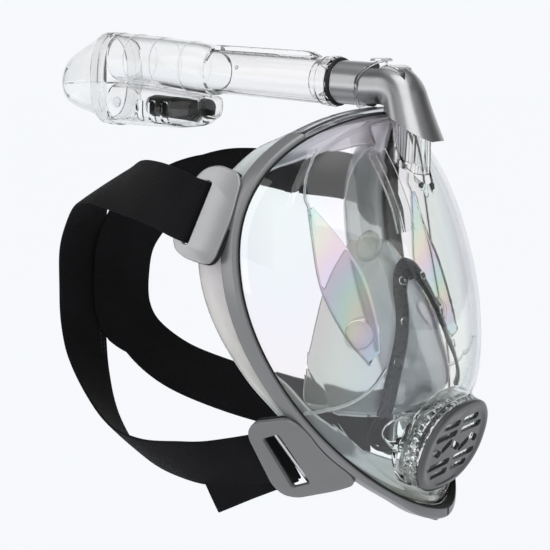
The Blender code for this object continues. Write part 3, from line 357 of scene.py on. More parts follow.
# ============================== material helpers ================================================
class Look:
    """A Principled material and its nodes."""

    def __init__(self, name, colour, roughness, metallic=0.0):
        self.material = bpy.data.materials.new(name)
        self.material.use_nodes = True
        self.tree = self.material.node_tree
        self.shader = self.tree.nodes["Principled BSDF"]
        self.set("Base Color", (*colour, 1.0))
        self.set("Roughness", roughness)
        self.set("Metallic", metallic)
        self.bumped = None

    def set(self, socket, value):
        self.shader.inputs[socket].default_value = value

    def node(self, kind, **settings):
        node = self.tree.nodes.new(kind)
        for key, value in settings.items():
            if key in node.inputs:
                node.inputs[key].default_value = value
            else:
                setattr(node, key, value)
        return node

    def link(self, a, b):
        self.tree.links.new(a, b)

    def coordinates(self, stretch=(1, 1, 1), kind="Object"):
        source = self.node("ShaderNodeTexCoord").outputs[kind]
        mapping = self.node("ShaderNodeMapping")
        mapping.inputs["Scale"].default_value = stretch
        self.link(source, mapping.inputs["Vector"])
        return mapping.outputs["Vector"]

    def noise(self, scale, detail=3.0, rough=0.5, stretch=(1, 1, 1), kind="Object"):
        node = self.node("ShaderNodeTexNoise")
        node.inputs["Scale"].default_value = scale
        node.inputs["Detail"].default_value = detail
        node.inputs["Roughness"].default_value = rough
        self.link(self.coordinates(stretch, kind), node.inputs["Vector"])
        return node.outputs["Fac"]

    def ramp(self, value, stops, interpolation="LINEAR"):
        """Stops are (position, grey) or (position, (r, g, b))."""
        node = self.node("ShaderNodeValToRGB")
        node.color_ramp.interpolation = interpolation
        elements = node.color_ramp.elements
        while len(elements) < len(stops):
            elements.new(0.5)
        for element, (position, colour) in zip(elements, stops):
            element.position = position
            rgb = colour if isinstance(colour, tuple) else (colour, colour, colour)
            element.color = (*rgb, 1.0)
        self.link(value, node.inputs["Fac"])
        return node.outputs["Color"]

    def mix(self, a, b, factor, blend="MIX"):
        node = self.node("ShaderNodeMix", data_type="RGBA", blend_type=blend)
        for value, socket in ((factor, node.inputs[0]), (a, node.inputs[6]), (b, node.inputs[7])):
            if isinstance(value, bpy.types.NodeSocket):
                self.link(value, socket)
            elif isinstance(value, tuple):
                socket.default_value = (*value, 1.0)
            else:
                socket.default_value = value
        return node.outputs[2]

    def math(self, operation, a, b=0.0):
        node = self.node("ShaderNodeMath", operation=operation)
        for value, socket in ((a, node.inputs[0]), (b, node.inputs[1])):
            if isinstance(value, bpy.types.NodeSocket):
                self.link(value, socket)
            else:
                socket.default_value = value
        return node.outputs[0]

    def facing(self, blend):
        node = self.node("ShaderNodeLayerWeight")
        node.inputs["Blend"].default_value = blend
        return node.outputs["Facing"]

    def colour(self, socket):
        self.link(socket, self.shader.inputs["Base Color"])
        return self

    def roughness(self, value, low, high):
        """Roughness that runs from low to high as the value goes from 0.3 to 0.7."""
        self.link(self.ramp(value, [(0.3, low), (0.7, high)]), self.shader.inputs["Roughness"])
        return self

    def bump(self, value, height_mm, strength=1.0):
        node = self.node("ShaderNodeBump")
        node.inputs["Strength"].default_value = strength
        node.inputs["Distance"].default_value = height_mm * MM
        self.link(value, node.inputs["Height"])
        if self.bumped:
            self.link(self.bumped, node.inputs["Normal"])
        self.bumped = node.outputs["Normal"]
        self.link(self.bumped, self.shader.inputs["Normal"])
        return self


# ============================== materials =======================================================
PASTEL = [(0.0, (1.00, 0.93, 0.96)), (0.22, (1.00, 0.98, 0.92)), (0.42, (0.91, 1.00, 0.96)),
          (0.6, (0.91, 0.96, 1.00)), (0.8, (0.96, 0.92, 1.00)), (1.0, (1.00, 0.93, 0.96))]
RAINBOW = [(0.0, (1.00, 0.80, 0.86)), (0.2, (1.00, 0.95, 0.78)), (0.4, (0.76, 0.98, 0.88)),
           (0.6, (0.76, 0.89, 1.00)), (0.8, (0.90, 0.80, 1.00)), (1.0, (1.00, 0.80, 0.86))]


def pastel_bands(look, scale, strength, stops=PASTEL):
    """Faint rainbow bands, as moulding stress gives clear plastic."""
    drift = look.noise(scale, 1.5, 0.4, stretch=(1, 0.8, 0.45))
    turns = look.math("FRACT", look.math("MULTIPLY", drift, 4.0))
    return look.mix((1.0, 1.0, 1.0), look.ramp(turns, stops), strength)


def rainbow_sheet(name):
    """Thin clear silicone under stress: broad rainbow bands that run down the wall."""
    look = Look(name, (0.97, 0.97, 0.97), 0.05)
    look.set("Transmission Weight", 0.94)
    look.set("IOR", 1.12)
    parts = look.node("ShaderNodeSeparateXYZ")
    look.link(look.coordinates(), parts.inputs[0])
    bend = look.math("MULTIPLY", look.noise(9.0, 2.0), 1.6)
    lean = look.math("ADD", look.math("MULTIPLY", parts.outputs["Y"], 26.0),
                     look.math("MULTIPLY", parts.outputs["Z"], 12.0))
    turns = look.math("FRACT", look.math("ADD", lean, bend))
    look.colour(look.mix((0.97, 0.97, 0.97), look.ramp(turns, RAINBOW), 0.85, "MULTIPLY"))
    look.roughness(look.noise(60.0, 3.0), 0.03, 0.10)
    return look.bump(look.noise(25.0, 2.0), 0.2, 0.3).material


def clear_plastic(name, tint=(0.965, 0.975, 0.98), edge=(0.36, 0.38, 0.41), pastel=0.35, rough=0.015,
                  ior=1.45, edge_from=0.5):
    look = Look(name, tint, rough)
    look.set("Transmission Weight", 1.0)
    look.set("IOR", ior)
    # Darker towards grazing angles: painted shade, the dark outline that refraction and reflection give the
    # edges of clear plastic, put into the colour.
    painted_edge_shade = look.ramp(look.facing(0.5), [(edge_from, 0.0), (0.97, 1.0)])
    body = look.mix(tint, pastel_bands(look, 7.0, pastel), 1.0, "MULTIPLY")
    look.colour(look.mix(body, edge, painted_edge_shade))
    look.roughness(look.noise(60.0, 4.0), rough, rough * 3)
    return look.bump(look.noise(30.0, 2.0), 0.12, 0.25).material


def clear_silicone(name, tint=(0.955, 0.96, 0.962), edge=(0.50, 0.51, 0.53), rough=0.13, pastel=0.15,
                   haze=0.08, stops=PASTEL):
    look = Look(name, tint, rough)
    look.set("Transmission Weight", 1.0 - haze)
    look.set("IOR", 1.40)
    # Darker towards grazing angles: painted shade, the dark outline that refraction and reflection give the
    # edges of clear silicone, put into the colour.
    painted_edge_shade = look.ramp(look.facing(0.5), [(0.45, 0.0), (0.98, 1.0)])
    body = look.mix(tint, pastel_bands(look, 6.0, pastel, stops), 1.0, "MULTIPLY")
    look.colour(look.mix(body, edge, painted_edge_shade))
    look.roughness(look.noise(45.0, 5.0), rough * 0.8, rough * 1.5)
    look.bump(look.noise(22.0, 3.0), 0.5, 0.35)
    return look.bump(look.noise(900.0, 2.0), 0.02, 0.2).material


def satin_paint(name, dark, light, rough, metallic, flake=0.25):
    """Metallic-looking moulded plastic: fine flake, slight moulding waviness, small scuffs."""
    look = Look(name, light, rough, metallic)
    flakes = look.noise(2600.0, 2.0, 0.6)
    cloud = look.noise(14.0, 3.0, 0.5)
    colour = look.mix(dark, light, look.ramp(cloud, [(0.3, 0.35), (0.7, 1.0)]))
    colour = look.mix(colour, look.ramp(flakes, [(0.35, 0.8), (0.65, 1.0)]), flake, "MULTIPLY")
    look.colour(colour)
    look.set("Coat Weight", 0.25)
    look.set("Coat Roughness", 0.12)
    scuffs = look.noise(180.0, 6.0, 0.7, stretch=(1, 6, 1))
    look.roughness(scuffs, rough * 0.92, rough * 1.1)
    look.bump(flakes, 0.002, 0.1)
    return look.bump(look.noise(40.0, 2.0), 0.03, 0.12).material


def moulded(name, dark, light, rough, grain=700.0, height=0.03, specular=0.5):
    """Plain moulded plastic with fine spark-eroded grain."""
    look = Look(name, light, rough)
    look.set("Specular IOR Level", specular)
    grain_noise = look.noise(grain, 3.0, 0.55)
    look.colour(look.mix(dark, light, look.ramp(look.noise(35.0, 4.0), [(0.3, 0.0), (0.7, 1.0)])))
    look.roughness(grain_noise, rough * 0.8, min(1.0, rough * 1.25))
    return look.bump(grain_noise, height, 0.5).material


def webbing(name):
    """Woven elastic: ribs across the strap, cords along it, light fuzz. UV is metres along and across."""
    look = Look(name, (0.004, 0.004, 0.005), 0.85)
    look.set("Sheen Weight", 0.02)
    look.set("Sheen Roughness", 0.4)
    look.set("Specular IOR Level", 0.04)
    uv = look.node("ShaderNodeUVMap").outputs["UV"]
    parts = look.node("ShaderNodeSeparateXYZ")
    look.link(uv, parts.inputs[0])
    along, across = parts.outputs["X"], parts.outputs["Y"]
    row = look.math("FLOOR", look.math("MULTIPLY", along, 1000 / 1.1))
    shift = look.math("MULTIPLY", look.math("MODULO", row, 2.0), math.pi)
    rib = look.math("SINE", look.math("MULTIPLY", along, 2 * math.pi * 1000 / 1.1))
    cord = look.math("SINE", look.math("ADD", look.math("MULTIPLY", across, 2 * math.pi * 1000 / 1.3), shift))
    weave = look.math("ADD", look.math("MULTIPLY", rib, 0.30), look.math("MULTIPLY", cord, 0.20))
    height = look.math("ADD", weave, 0.5)
    fuzz = look.noise(1500.0, 3.0, 0.6)
    # Lighter on the rib tops and darker in the grooves, led by the weave's height: painted sheen on the ribs and
    # painted shade between them.
    tone = look.mix((0.0010, 0.0010, 0.0012), (0.020, 0.020, 0.022),
                    look.ramp(height, [(0.15, 0.0), (0.95, 1.0)]))
    tone = look.mix(tone, look.ramp(look.noise(28.0, 4.0), [(0.3, 0.7), (0.7, 1.0)]), 1.0, "MULTIPLY")
    look.colour(look.mix(tone, (0.020, 0.020, 0.022), look.ramp(fuzz, [(0.62, 0.0), (0.85, 0.5)])))
    look.roughness(fuzz, 0.65, 0.9)
    look.bump(height, 0.22, 0.9)
    return look.bump(fuzz, 0.05, 0.4).material


def thread(name):
    look = Look(name, (0.01, 0.01, 0.011), 0.65)
    twist = look.noise(2500.0, 2.0)
    look.colour(look.mix((0.004, 0.004, 0.005), (0.018, 0.018, 0.019), twist))
    look.roughness(twist, 0.5, 0.7)
    return look.bump(twist, 0.05, 0.5).material


def brushed_steel(name):
    look = Look(name, (0.62, 0.63, 0.64), 0.22, 1.0)
    lines = look.noise(400.0, 4.0, 0.6, stretch=(1, 12, 1))
    look.colour(look.mix((0.48, 0.49, 0.50), (0.72, 0.73, 0.74), lines))
    look.roughness(lines, 0.16, 0.32)
    return look.bump(lines, 0.01, 0.3).material


LENS_CLEAR = clear_plastic("lens_clear", tint=(0.988, 0.99, 0.99), pastel=0.55)
TUBE_CLEAR = clear_plastic("tube_clear", tint=(0.975, 0.98, 0.98), edge=(0.42, 0.43, 0.44), pastel=0.10,
                           ior=1.32)
SMOKE_CLEAR = clear_plastic("bridge_clear", tint=(0.66, 0.68, 0.70), edge=(0.25, 0.26, 0.28), pastel=0.05)
INNER_CLEAR = clear_plastic("inner_clear", tint=(0.955, 0.96, 0.965), edge=(0.30, 0.32, 0.34), pastel=0.3,
                            edge_from=0.4)
BAND_CLEAR = clear_plastic("band_clear", tint=(0.86, 0.865, 0.86), edge=(0.40, 0.41, 0.41), pastel=0.05)
WHITE_CLEAR = clear_silicone("silicone_white", tint=(0.97, 0.975, 0.98), edge=(0.72, 0.74, 0.76), rough=0.25)
IRIDESCENT = rainbow_sheet("iridescent_clear")
SILICONE = clear_silicone("silicone_clear", haze=0.42, pastel=0.25, stops=RAINBOW)
SOFT_CLEAR = clear_silicone("silicone_thin", tint=(0.975, 0.977, 0.977), rough=0.06, haze=0.26, pastel=0.35,
                            stops=RAINBOW)
DUCT_CLEAR = clear_plastic("duct_clear", tint=(0.98, 0.985, 0.985), edge=(0.55, 0.56, 0.57), pastel=0.3,
                           ior=1.12)
SILVER = satin_paint("silver_satin", (0.27, 0.272, 0.278), (0.34, 0.343, 0.35), 0.30, 0.80)
GUNMETAL = satin_paint("gunmetal_satin", (0.24, 0.242, 0.247), (0.30, 0.302, 0.308), 0.29, 0.95)
FRAME_GREY = satin_paint("frame_grey", (0.165, 0.166, 0.170), (0.205, 0.207, 0.212), 0.36, 0.45)
TAB_GREY = satin_paint("tab_grey", (0.150, 0.151, 0.154), (0.175, 0.177, 0.180), 0.42, 0.35)
GRILLE_GREY = satin_paint("grille_grey", (0.052, 0.053, 0.055), (0.078, 0.080, 0.083), 0.38, 0.35)
ARCH_DARK = moulded("arch_dark", (0.028, 0.030, 0.034), (0.048, 0.052, 0.058), 0.28, 400.0, 0.02)
BLACK_RUBBER = moulded("black_rubber", (0.006, 0.006, 0.006), (0.014, 0.014, 0.015), 0.50, specular=0.25)
BLACK_PLASTIC = moulded("black_plastic", (0.002, 0.002, 0.002), (0.004, 0.004, 0.004), 0.35, 500.0, 0.02, 0.12)
WEBBING = webbing("webbing_black")
THREAD = thread("thread_black")
STEEL = brushed_steel("brushed_steel")


# ============================== lens and frame ==================================================
DEPTH_CURVE = spline(LENS_DEPTH, 8)


def rim_radius(angle):
    c, s = math.cos(angle), math.sin(angle)
    height, power = (RIM_UP, RIM_UP_POWER) if s >= 0 else (RIM_DOWN, RIM_DOWN_POWER)
    return (abs(c / RIM_HALF_WIDTH) ** power + abs(s / height) ** power) ** (-1 / power)


def lens_depth(z):
    for a, b in zip(DEPTH_CURVE, DEPTH_CURVE[1:]):
        if z <= b.x:
            return a.y + (b.y - a.y) * max(0.0, (z - a.x) / (b.x - a.x))
    return DEPTH_CURVE[-1].y


def lens_point(angle, rho):
    """A point of the lens' outer surface: rho is 1 on the rim and 0 at the middle."""
    radius = rim_radius(angle)
    x_rim = radius * math.cos(angle)
    x, z = x_rim * rho, RIM_CENTRE_Z + radius * math.sin(angle) * rho
    rise = 1 - (1 - min(rho, 1.0) ** LENS_POWER) ** (1 / LENS_POWER)
    wrap = RIM_WRAP * (abs(x_rim) / RIM_HALF_WIDTH) ** RIM_WRAP_POWER
    y = RIM_APEX_Y + RIM_LEAN * z + wrap * rise - lens_depth(z) * (1 - rise)
    return Vector((x, y, z))


def lens_normal(angle, rho):
    """The lens' outward normal, with rho kept off the rim and the middle."""
    rho = min(0.995, max(0.02, rho))
    step = 0.004
    round_way = lens_point(angle + step, rho) - lens_point(angle - step, rho)
    in_way = lens_point(angle, rho + step) - lens_point(angle, rho - step)
    normal = round_way.cross(in_way).normalized()
    return normal if normal.y < 0 else -normal


def rim_frame(angle):
    step = 0.002
    tangent = lens_point(angle + step, 1.0) - lens_point(angle - step, 1.0)
    return lens_point(angle, 1.0), Vector((tangent.z, 0, -tangent.x)).normalized()


def rim_section(angle, offsets):
    """A section across the rim: each offset is (outwards, rearwards)."""
    point, outward = rim_frame(angle)
    return [point + outward * out + Vector((0, rear, 0)) for out, rear in offsets]


def rim_angles(start_deg, end_deg, steps):
    return [math.radians(start_deg + (end_deg - start_deg) * k / steps) for k in range(steps + 1)]


RIM_ROUND = [2 * math.pi * k / RIM_STEPS for k in range(RIM_STEPS)]


def drain_oval(depth, scale, count=96):
    return oval(COVER_CENTRE + TILT_OUT * depth, ACROSS, TILT_UP,
                COVER_HALF_W * scale, COVER_HALF_H * scale, count, COVER_POWER)


def make_lens():
    bead_height, bead_width, step_width = 1.2, 0.048, 0.010
    rhos = [1.0, 0.996, 0.985, 0.965, 0.952, 0.948, 0.944, 0.938, 0.93, 0.915, 0.89, 0.86]
    rhos += [0.83 - 0.04 * k for k in range(21)]
    points = []
    for rho in rhos:
        fade = max(0.0, min(1.0, (1 - rho - bead_width) / step_width))
        lift = bead_height * (1 - fade * fade * (3 - 2 * fade))
        points += [lens_point(a, rho) + lens_normal(a, rho) * lift for a in RIM_ROUND]
    points.append(lens_point(0.0, 0.0))
    n = RIM_STEPS
    last = (len(rhos) - 1) * n
    faces = grid_faces(len(rhos), n)
    faces += [(last + k, last + (k + 1) % n, len(points) - 1) for k in range(n)]
    lens = mesh_object("lens_shell", points, faces, closed=False)
    if lens.data.polygons[-1].normal.y > 0:
        lens.data.flip_normals()
    thicken(lens, LENS_WALL)
    cut(lens, rod("air_hole", (0, PORT_Y, 60), (0, PORT_Y, 135), PORT_R + 0.4, 64))
    cut(lens, loft("drain_boss", [drain_oval(-14.5, 1.075), drain_oval(-8.5, 1.04)]), "UNION")
    cut(lens, loft("drain_hole", [drain_oval(-40, 1.008), drain_oval(14, 1.008)]))
    place(lens, "mask", LENS_CLEAR, "lens")

    # A thin black strip round the rim, between the band's front and the lens.
    sections = []
    for angle in RIM_ROUND:
        front = BAND_FRONT - band_forward(angle)
        outline = [(-0.25, front - 1.0), (1.0, front - 1.0), (1.0, front - 0.05), (0.12, front - 0.05),
                   (0.12, 3.9), (-0.25, 3.9)]
        sections.append(rim_section(angle, fillet(outline, 0.2, 2)))
    gasket = loft("lens_rim_black_strip", sections, closed=True)
    place(gasket, "mask", BLACK_RUBBER)


def band_forward(angle):
    """How far the band's front stands forward of its plain profile: most at the sides."""
    return BAND_FORWARD * math.cos(angle) ** 2


def make_band():
    """The two grey frame halves and the clear bridge over the brow."""
    profile = fillet([(BAND_IN, BAND_FRONT), (2.9, BAND_FRONT), (BAND_OUT, BAND_FRONT + 1.6),
                      (BAND_OUT, BAND_REAR - 0.2), (3.4, BAND_REAR), (-2.25, BAND_REAR), (-2.25, 4.4),
                      (BAND_IN, 4.4)], 0.9, 4)
    joint = 0.35
    top_end = 90 - BRIDGE_HALF_ANGLE
    halves = {"left": (-90 + joint, top_end - joint), "right": (270 - joint, 180 - top_end + joint)}
    for word, (start, end) in halves.items():
        sections = []
        for angle in rim_angles(start, end, 160):
            chin = math.exp(-((math.degrees(angle) % 360 - 270) / 10.5) ** 4)
            forward = band_forward(angle)
            sections.append(rim_section(angle, [(p.x + (CHIN_THICKER * chin if p.x > 1.5 else 0),
                                                 p.y - (forward if p.x > BAND_IN - 0.5 else 0))
                                                for p in profile]))
        band = loft(f"frame_half_{word}", sections)
        place(band, "mask", FRAME_GREY, f"frame_{word}")
    crown = BAND_IN + 3.2
    bridge = fillet([(BAND_IN, BAND_FRONT), (crown, BAND_FRONT), (crown, BAND_REAR), (-2.25, BAND_REAR),
                     (-2.25, 4.4), (BAND_IN, 4.4)], 0.8, 4)
    top = loft("brow_bridge", [rim_section(a, bridge) for a in rim_angles(top_end, 180 - top_end, 60)])
    place(top, "mask", SMOKE_CLEAR, "top_bridge")


def plane_axes(plane, side):
    rear, up = Vector(plane["rear"]).normalized(), Vector(plane["up"])
    up = (up - rear * rear.dot(up)).normalized()
    origin = Vector(plane["origin"])
    if side > 0:
        origin.x, rear.x, up.x = -origin.x, -rear.x, -up.x
    return origin, rear, up


def tab_plate(name, plane, side, round_outline, round_slot, edge):
    """A flat plate with one slot and rounded edges."""
    origin, rear, up = plane_axes(plane, side)
    curve = bpy.data.curves.new(name, "CURVE")
    curve.dimensions = "2D"
    curve.fill_mode = "BOTH"
    curve.extrude = (plane["thick"] / 2 - edge) * MM
    curve.bevel_depth = edge * MM
    curve.bevel_resolution = 3
    curve.offset = -edge * MM
    for loop in (fillet(plane["outline"], round_outline, 8), fillet(plane["slot"], round_slot, 4)):
        line = curve.splines.new("POLY")
        line.points.add(len(loop) - 1)
        line.use_cyclic_u = True
        for point, (a, b) in zip(line.points, loop):
            point.co = (a * MM, b * MM, 0, 1)
    flat = add_object(name + "_curve", curve)
    graph = bpy.context.evaluated_depsgraph_get()
    graph.update()
    mesh = bpy.data.meshes.new_from_object(flat.evaluated_get(graph))
    bpy.data.objects.remove(flat, do_unlink=True)
    mesh.transform(Matrix.Translation(origin * MM) @ Matrix((rear, up, rear.cross(up))).transposed().to_4x4())
    bm = bmesh.new()
    bm.from_mesh(mesh)
    bmesh.ops.remove_doubles(bm, verts=bm.verts, dist=0.000004)
    outwards(bm)
    bm.to_mesh(mesh)
    bm.free()
    return shade(add_object(name, mesh), 30)


def make_tabs():
    for side, word in ((-1, "right"), (1, "left")):
        middle = 180 if side < 0 else 0
        for label, plane, gap, look, slot_name in (("upper", UPPER_TAB, 0.35, SILVER, "silver_plastic"),
                                                   ("lower", LOWER_TAB, 0.5, TAB_GREY, "grey_plastic")):
            origin, rear, up = Vector(plane["origin"]), Vector(plane["rear"]).normalized(), Vector(plane["up"])
            inboard = rear.cross(up).normalized()
            inboard = inboard if inboard.x > 0 else -inboard
            slot_middle = sum(a for a, b in plane["slot"]) / 4
            # A thin black plate under each tab, a little larger than it: painted shadow, a dark piece that
            # stands in for the shadow line between the tab's edge and the frame.
            wider = [(a + math.copysign(1.6, a - slot_middle), b * 1.08) for a, b in plane["slot"]]
            beneath = origin + inboard * (plane["thick"] / 2 + 0.9) - rear * 1.1
            under = dict(plane, thick=1.6, slot=wider, origin=beneath)
            for name, shape, room, dress in ((f"{label}_strap_tab_{word}", plane, gap, look),
                                             (f"{label}_tab_pad_{word}", under, 0.05, BLACK_RUBBER)):
                tab = tab_plate(name, shape, side, 8.0, 2.0, 0.9 if shape is plane else 0.4)
                out, back = BAND_OUT + room, BAND_REAR + room
                reach = [(-16, -30), (out, -30), (out, back), (-16, back)]
                cut(tab, loft("tab_clearance", [rim_section(a, reach)
                                                for a in rim_angles(middle - 80, middle + 80, 90)]))
                if shape is plane:
                    place(tab, "mask", dress, f"{label}_tab_{word}")
                else:
                    place(tab, "mask", dress)


# ============================== straps ==========================================================
def strap_frames(stations, per_span):
    """Centre, along, across and normal at every step of a strap."""
    centres = spline([s[0] for s in stations], per_span)
    edges = spline([s[1] for s in stations], per_span)
    frames = []
    for i, (centre, edge) in enumerate(zip(centres, edges)):
        along = heading(centres, i)
        across = (edge - along * along.dot(edge)).normalized()
        frames.append((centre, along, across, along.cross(across)))
    return frames


def gusset_at(station, gusset):
    """How much wider than the webbing the sewn back piece is at a station, mm."""
    for (s0, w0), (s1, w1) in zip(gusset, gusset[1:]):
        if s0 <= station <= s1:
            return w0 + (w1 - w0) * (station - s0) / (s1 - s0)
    return 0.0


def strap_mesh(name, stations, width=STRAP_WIDTH, thick=STRAP_THICK, per_span=8, gusset=()):
    """Webbing with rolled edges; its UV map holds metres along and across."""
    frames = strap_frames(stations, per_span)
    half, edge = width / 2, thick / 2
    columns = 14
    turns = [math.pi * j / 6 for j in range(1, 6)]
    shape = [(-half + edge + (width - thick) * k / columns, edge) for k in range(columns + 1)]
    shape += [(half - edge * (1 - math.sin(t)), edge * math.cos(t)) for t in turns]
    shape += [(half - edge - (width - thick) * k / columns, -edge) for k in range(columns + 1)]
    shape += [(-half + edge * (1 - math.sin(t)), -edge * math.cos(t)) for t in turns]
    n = len(shape)
    points, metres = [], []
    length = 0.0
    for i, (centre, _, across, normal) in enumerate(frames):
        if i:
            length += (centre - frames[i - 1][0]).length * MM
        ripple = 0.18 * math.sin(length * 90.0) * math.sin(length * 37.0)
        grow = gusset_at(i / per_span, gusset)
        for a, b in shape:
            cup = 0.5 * (a / half) ** 2 + ripple * (a / half) ** 3
            part = max(0.0, (a + 0.2 * half) / (1.2 * half))
            points.append(centre + across * (a + grow * part) + normal * (b + cup)
                          - Vector((0, 0.30 * grow * part * part, 0)))
            metres.append((length, a * MM))
    last = len(frames) - 1
    faces = grid_faces(len(frames), n) + [tuple(range(n)), tuple(last * n + k for k in range(n))]
    obj = mesh_object(name, points, faces, sharp_deg=60)
    uv = obj.data.uv_layers.new(name="metres")
    for loop in obj.data.loops:
        uv.data[loop.index].uv = metres[loop.vertex_index]
    return obj


def stitches(name, points, normal_of, length=2.6, pitch=3.6, radius=0.32):
    """A row of raised thread stitches along a run of points."""
    run = [Vector(p) for p in points]
    spans = [(b - a).length for a, b in zip(run, run[1:])]
    total = sum(spans)
    bm = bmesh.new()
    count = int(total / pitch)
    for k in range(count):
        at = (k + 0.5) * pitch
        index = 0
        while index < len(spans) - 1 and at > spans[index]:
            at -= spans[index]
            index += 1
        a, b = run[index], run[index + 1]
        along = (b - a).normalized()
        centre = a + along * at
        normal = normal_of(index)
        side = along.cross(normal).normalized()
        ring = []
        for t, size in ((-0.5, 0.25), (-0.3, 0.9), (0.0, 1.0), (0.3, 0.9), (0.5, 0.25)):
            ring.append([bm.verts.new((centre + along * t * length
                                       + normal * (radius * size * math.cos(u) - 0.1)
                                       + side * radius * size * math.sin(u)) * MM)
                         for u in (2 * math.pi * j / 8 for j in range(8))])
        for p, q in zip(ring, ring[1:]):
            for j in range(8):
                bm.faces.new((p[j], p[(j + 1) % 8], q[(j + 1) % 8], q[j]))
        bm.faces.new(ring[0])
        bm.faces.new(ring[-1])
    bmesh.ops.recalc_face_normals(bm, faces=bm.faces)
    return shade(add_object(name, mesh_from(bm, name)), 0)


BACK_GUSSET = [(6.5, 0), (7.2, 8), (8, 20), (8.5, 24), (9, 20), (9.5, 16), (10, 14), (11, 13), (11.5, 9),
               (12, 0)]


def make_straps():
    for word, sign, stations in (("right", -1, STRAP_RIGHT), ("left", 1, STRAP_LEFT)):
        strap = strap_mesh(f"head_strap_{word}", stations, gusset=BACK_GUSSET if word == "left" else ())
        place(strap, "mask", WEBBING, f"strap_{word}")
        tail = [((sign * 59, 50, -130.5), (-.1 * sign, -.6, -.79)),
                ((sign * 55.5, 21, -115), (-.25 * sign, -.45, -.86)),
                ((sign * 48.5, -8, -101), (-.4 * sign, -.3, -.86))]
        end = strap_mesh(f"strap_end_{word}", tail, per_span=16)
        place(end, "mask", WEBBING, f"strap_tail_{word}")
        frames = strap_frames(stations, 8)
        seam_frames = frames[8 * 9:8 * 12]
        for number, inset in enumerate((17.2, 14.4), 1):
            line = [centre + across * inset + normal * (0.9 + 0.5 * (inset / 20) ** 2)
                    for centre, _, across, normal in seam_frames]
            row = stitches(f"back_seam_{word}_{number}", line,
                           lambda i, f=seam_frames: f[min(i, len(f) - 1)][3])
            place(row, "mask", THREAD)


# ============================== skirt, cup and inner parts ======================================
def skirt_scale(angle):
    side = abs(math.cos(angle))
    return 0.42 + 0.58 * side ** 0.8 if math.sin(angle) > 0 else 0.50 + 0.50 * side ** 0.7


def make_skirt():
    rows = []
    for angle in RIM_ROUND:
        s = skirt_scale(angle)
        profile = [(-0.4, 3.25), (-3.6, 3.25), (-5.0, 6.6), (-1.2, 5 + 13 * s),
                   (-4.0, 5 + 23.0 * s), (-12.0, 5 + 25.5 * s), (-22.0, 5 + 17.0 * s)]
        curve = [Vector(profile[0])] + spline(profile[1:], 6)
        crease = (0.7 * math.sin(9 * angle) + 0.9 * math.sin(23 * angle + 1.0)) * s
        rows.append(rim_section(angle, [
            (p.x + crease * math.sin(min(1.0, max(0.0, (p.y - 6) / 20)) * math.pi), p.y) for p in curve]))
    skirt = sheet("face_skirt", rows, 1.0, loop_rows=True, offset=0.0)
    place(skirt, "mask", SILICONE, "skirt")


CUP_SECTIONS = [(40, 7, -55), (33, 15, -60), (22, 27, -67), (8, 37, -75), (-6, 43, -80.5),
                (-22, 49, -83.5), (-38, 54, -86), (-51, 56, -86.5), (-59, 54, -84), (-64, 47, -79)]
CUP_REAR_Y = -30.0
INHALE_CENTRE = Vector((-45.5, -64.5, -11.0))
INHALE_AXIS = Vector((-0.86, -0.50, 0.06)).normalized()
SEAT_PROFILE = [(9.6, 1.6), (9.6, 0.0), (5.6, 0.0), (5.6, 0.6), (8.6, 0.8), (8.8, 1.6)]
FLAP_PROFILE = [(0, -0.3), (2.0, -0.3), (8.0, -0.35), (8.4, -0.6), (8.2, -1.0), (0, -1.0)]
ARCH_LEG = [(0, -69.2, 24.5), (8, -70.0, 21.5), (14, -73.0, 13), (18.5, -77.8, 1), (23, -80.8, -11),
            (28, -82.2, -22), (35.2, -83.4, -35), (41.5, -83.6, -50), (43, -81.2, -60)]


def inhale_sides():
    mirror = Matrix.Diagonal((-1, 1, 1))
    return [("right", INHALE_CENTRE, INHALE_AXIS), ("left", mirror @ INHALE_CENTRE, mirror @ INHALE_AXIS)]


def cup_section(z, half_width, front_y, count=64):
    power = 2.0 + 0.9 * min(1.0, max(0.0, (20 - z) / 70))
    points = []
    for k in range(count + 1):
        angle = math.pi * k / count
        c, s = math.cos(angle), math.sin(angle)
        size = (abs(c) ** power + abs(s) ** power) ** (-1 / power)
        points.append(Vector((half_width * c * size, CUP_REAR_Y + (front_y - CUP_REAR_Y) * s * size, z)))
    return points


def make_cup():
    rows = [cup_section(level.x, level.y, level.z) for level in spline(CUP_SECTIONS, 6)]
    cup = bake(sheet("nose_and_mouth_cup", rows, 1.6), 60)
    for word, centre, axis in inhale_sides():
        cut(cup, rod("valve_hole", centre - axis * 12, centre + axis * 6, 8.8, 48))
    place(cup, "mask", SOFT_CLEAR, "orinasal_cup")
    for word, centre, axis in inhale_sides():
        seat = turned(f"valve_seat_{word}", SEAT_PROFILE, centre, axis)
        place(seat, "mask", INNER_CLEAR, f"inhale_seat_{word}")
        disc = turned(f"valve_flap_{word}", FLAP_PROFILE, centre, axis)
        place(disc, f"inhale_valve_{word}", SOFT_CLEAR, f"inhale_valve_{word}")


def arch_normal(x):
    return Vector((0.55 * x / 30, -1, 0.25 + 0.35 * max(0.0, 1 - abs(x) / 18)))


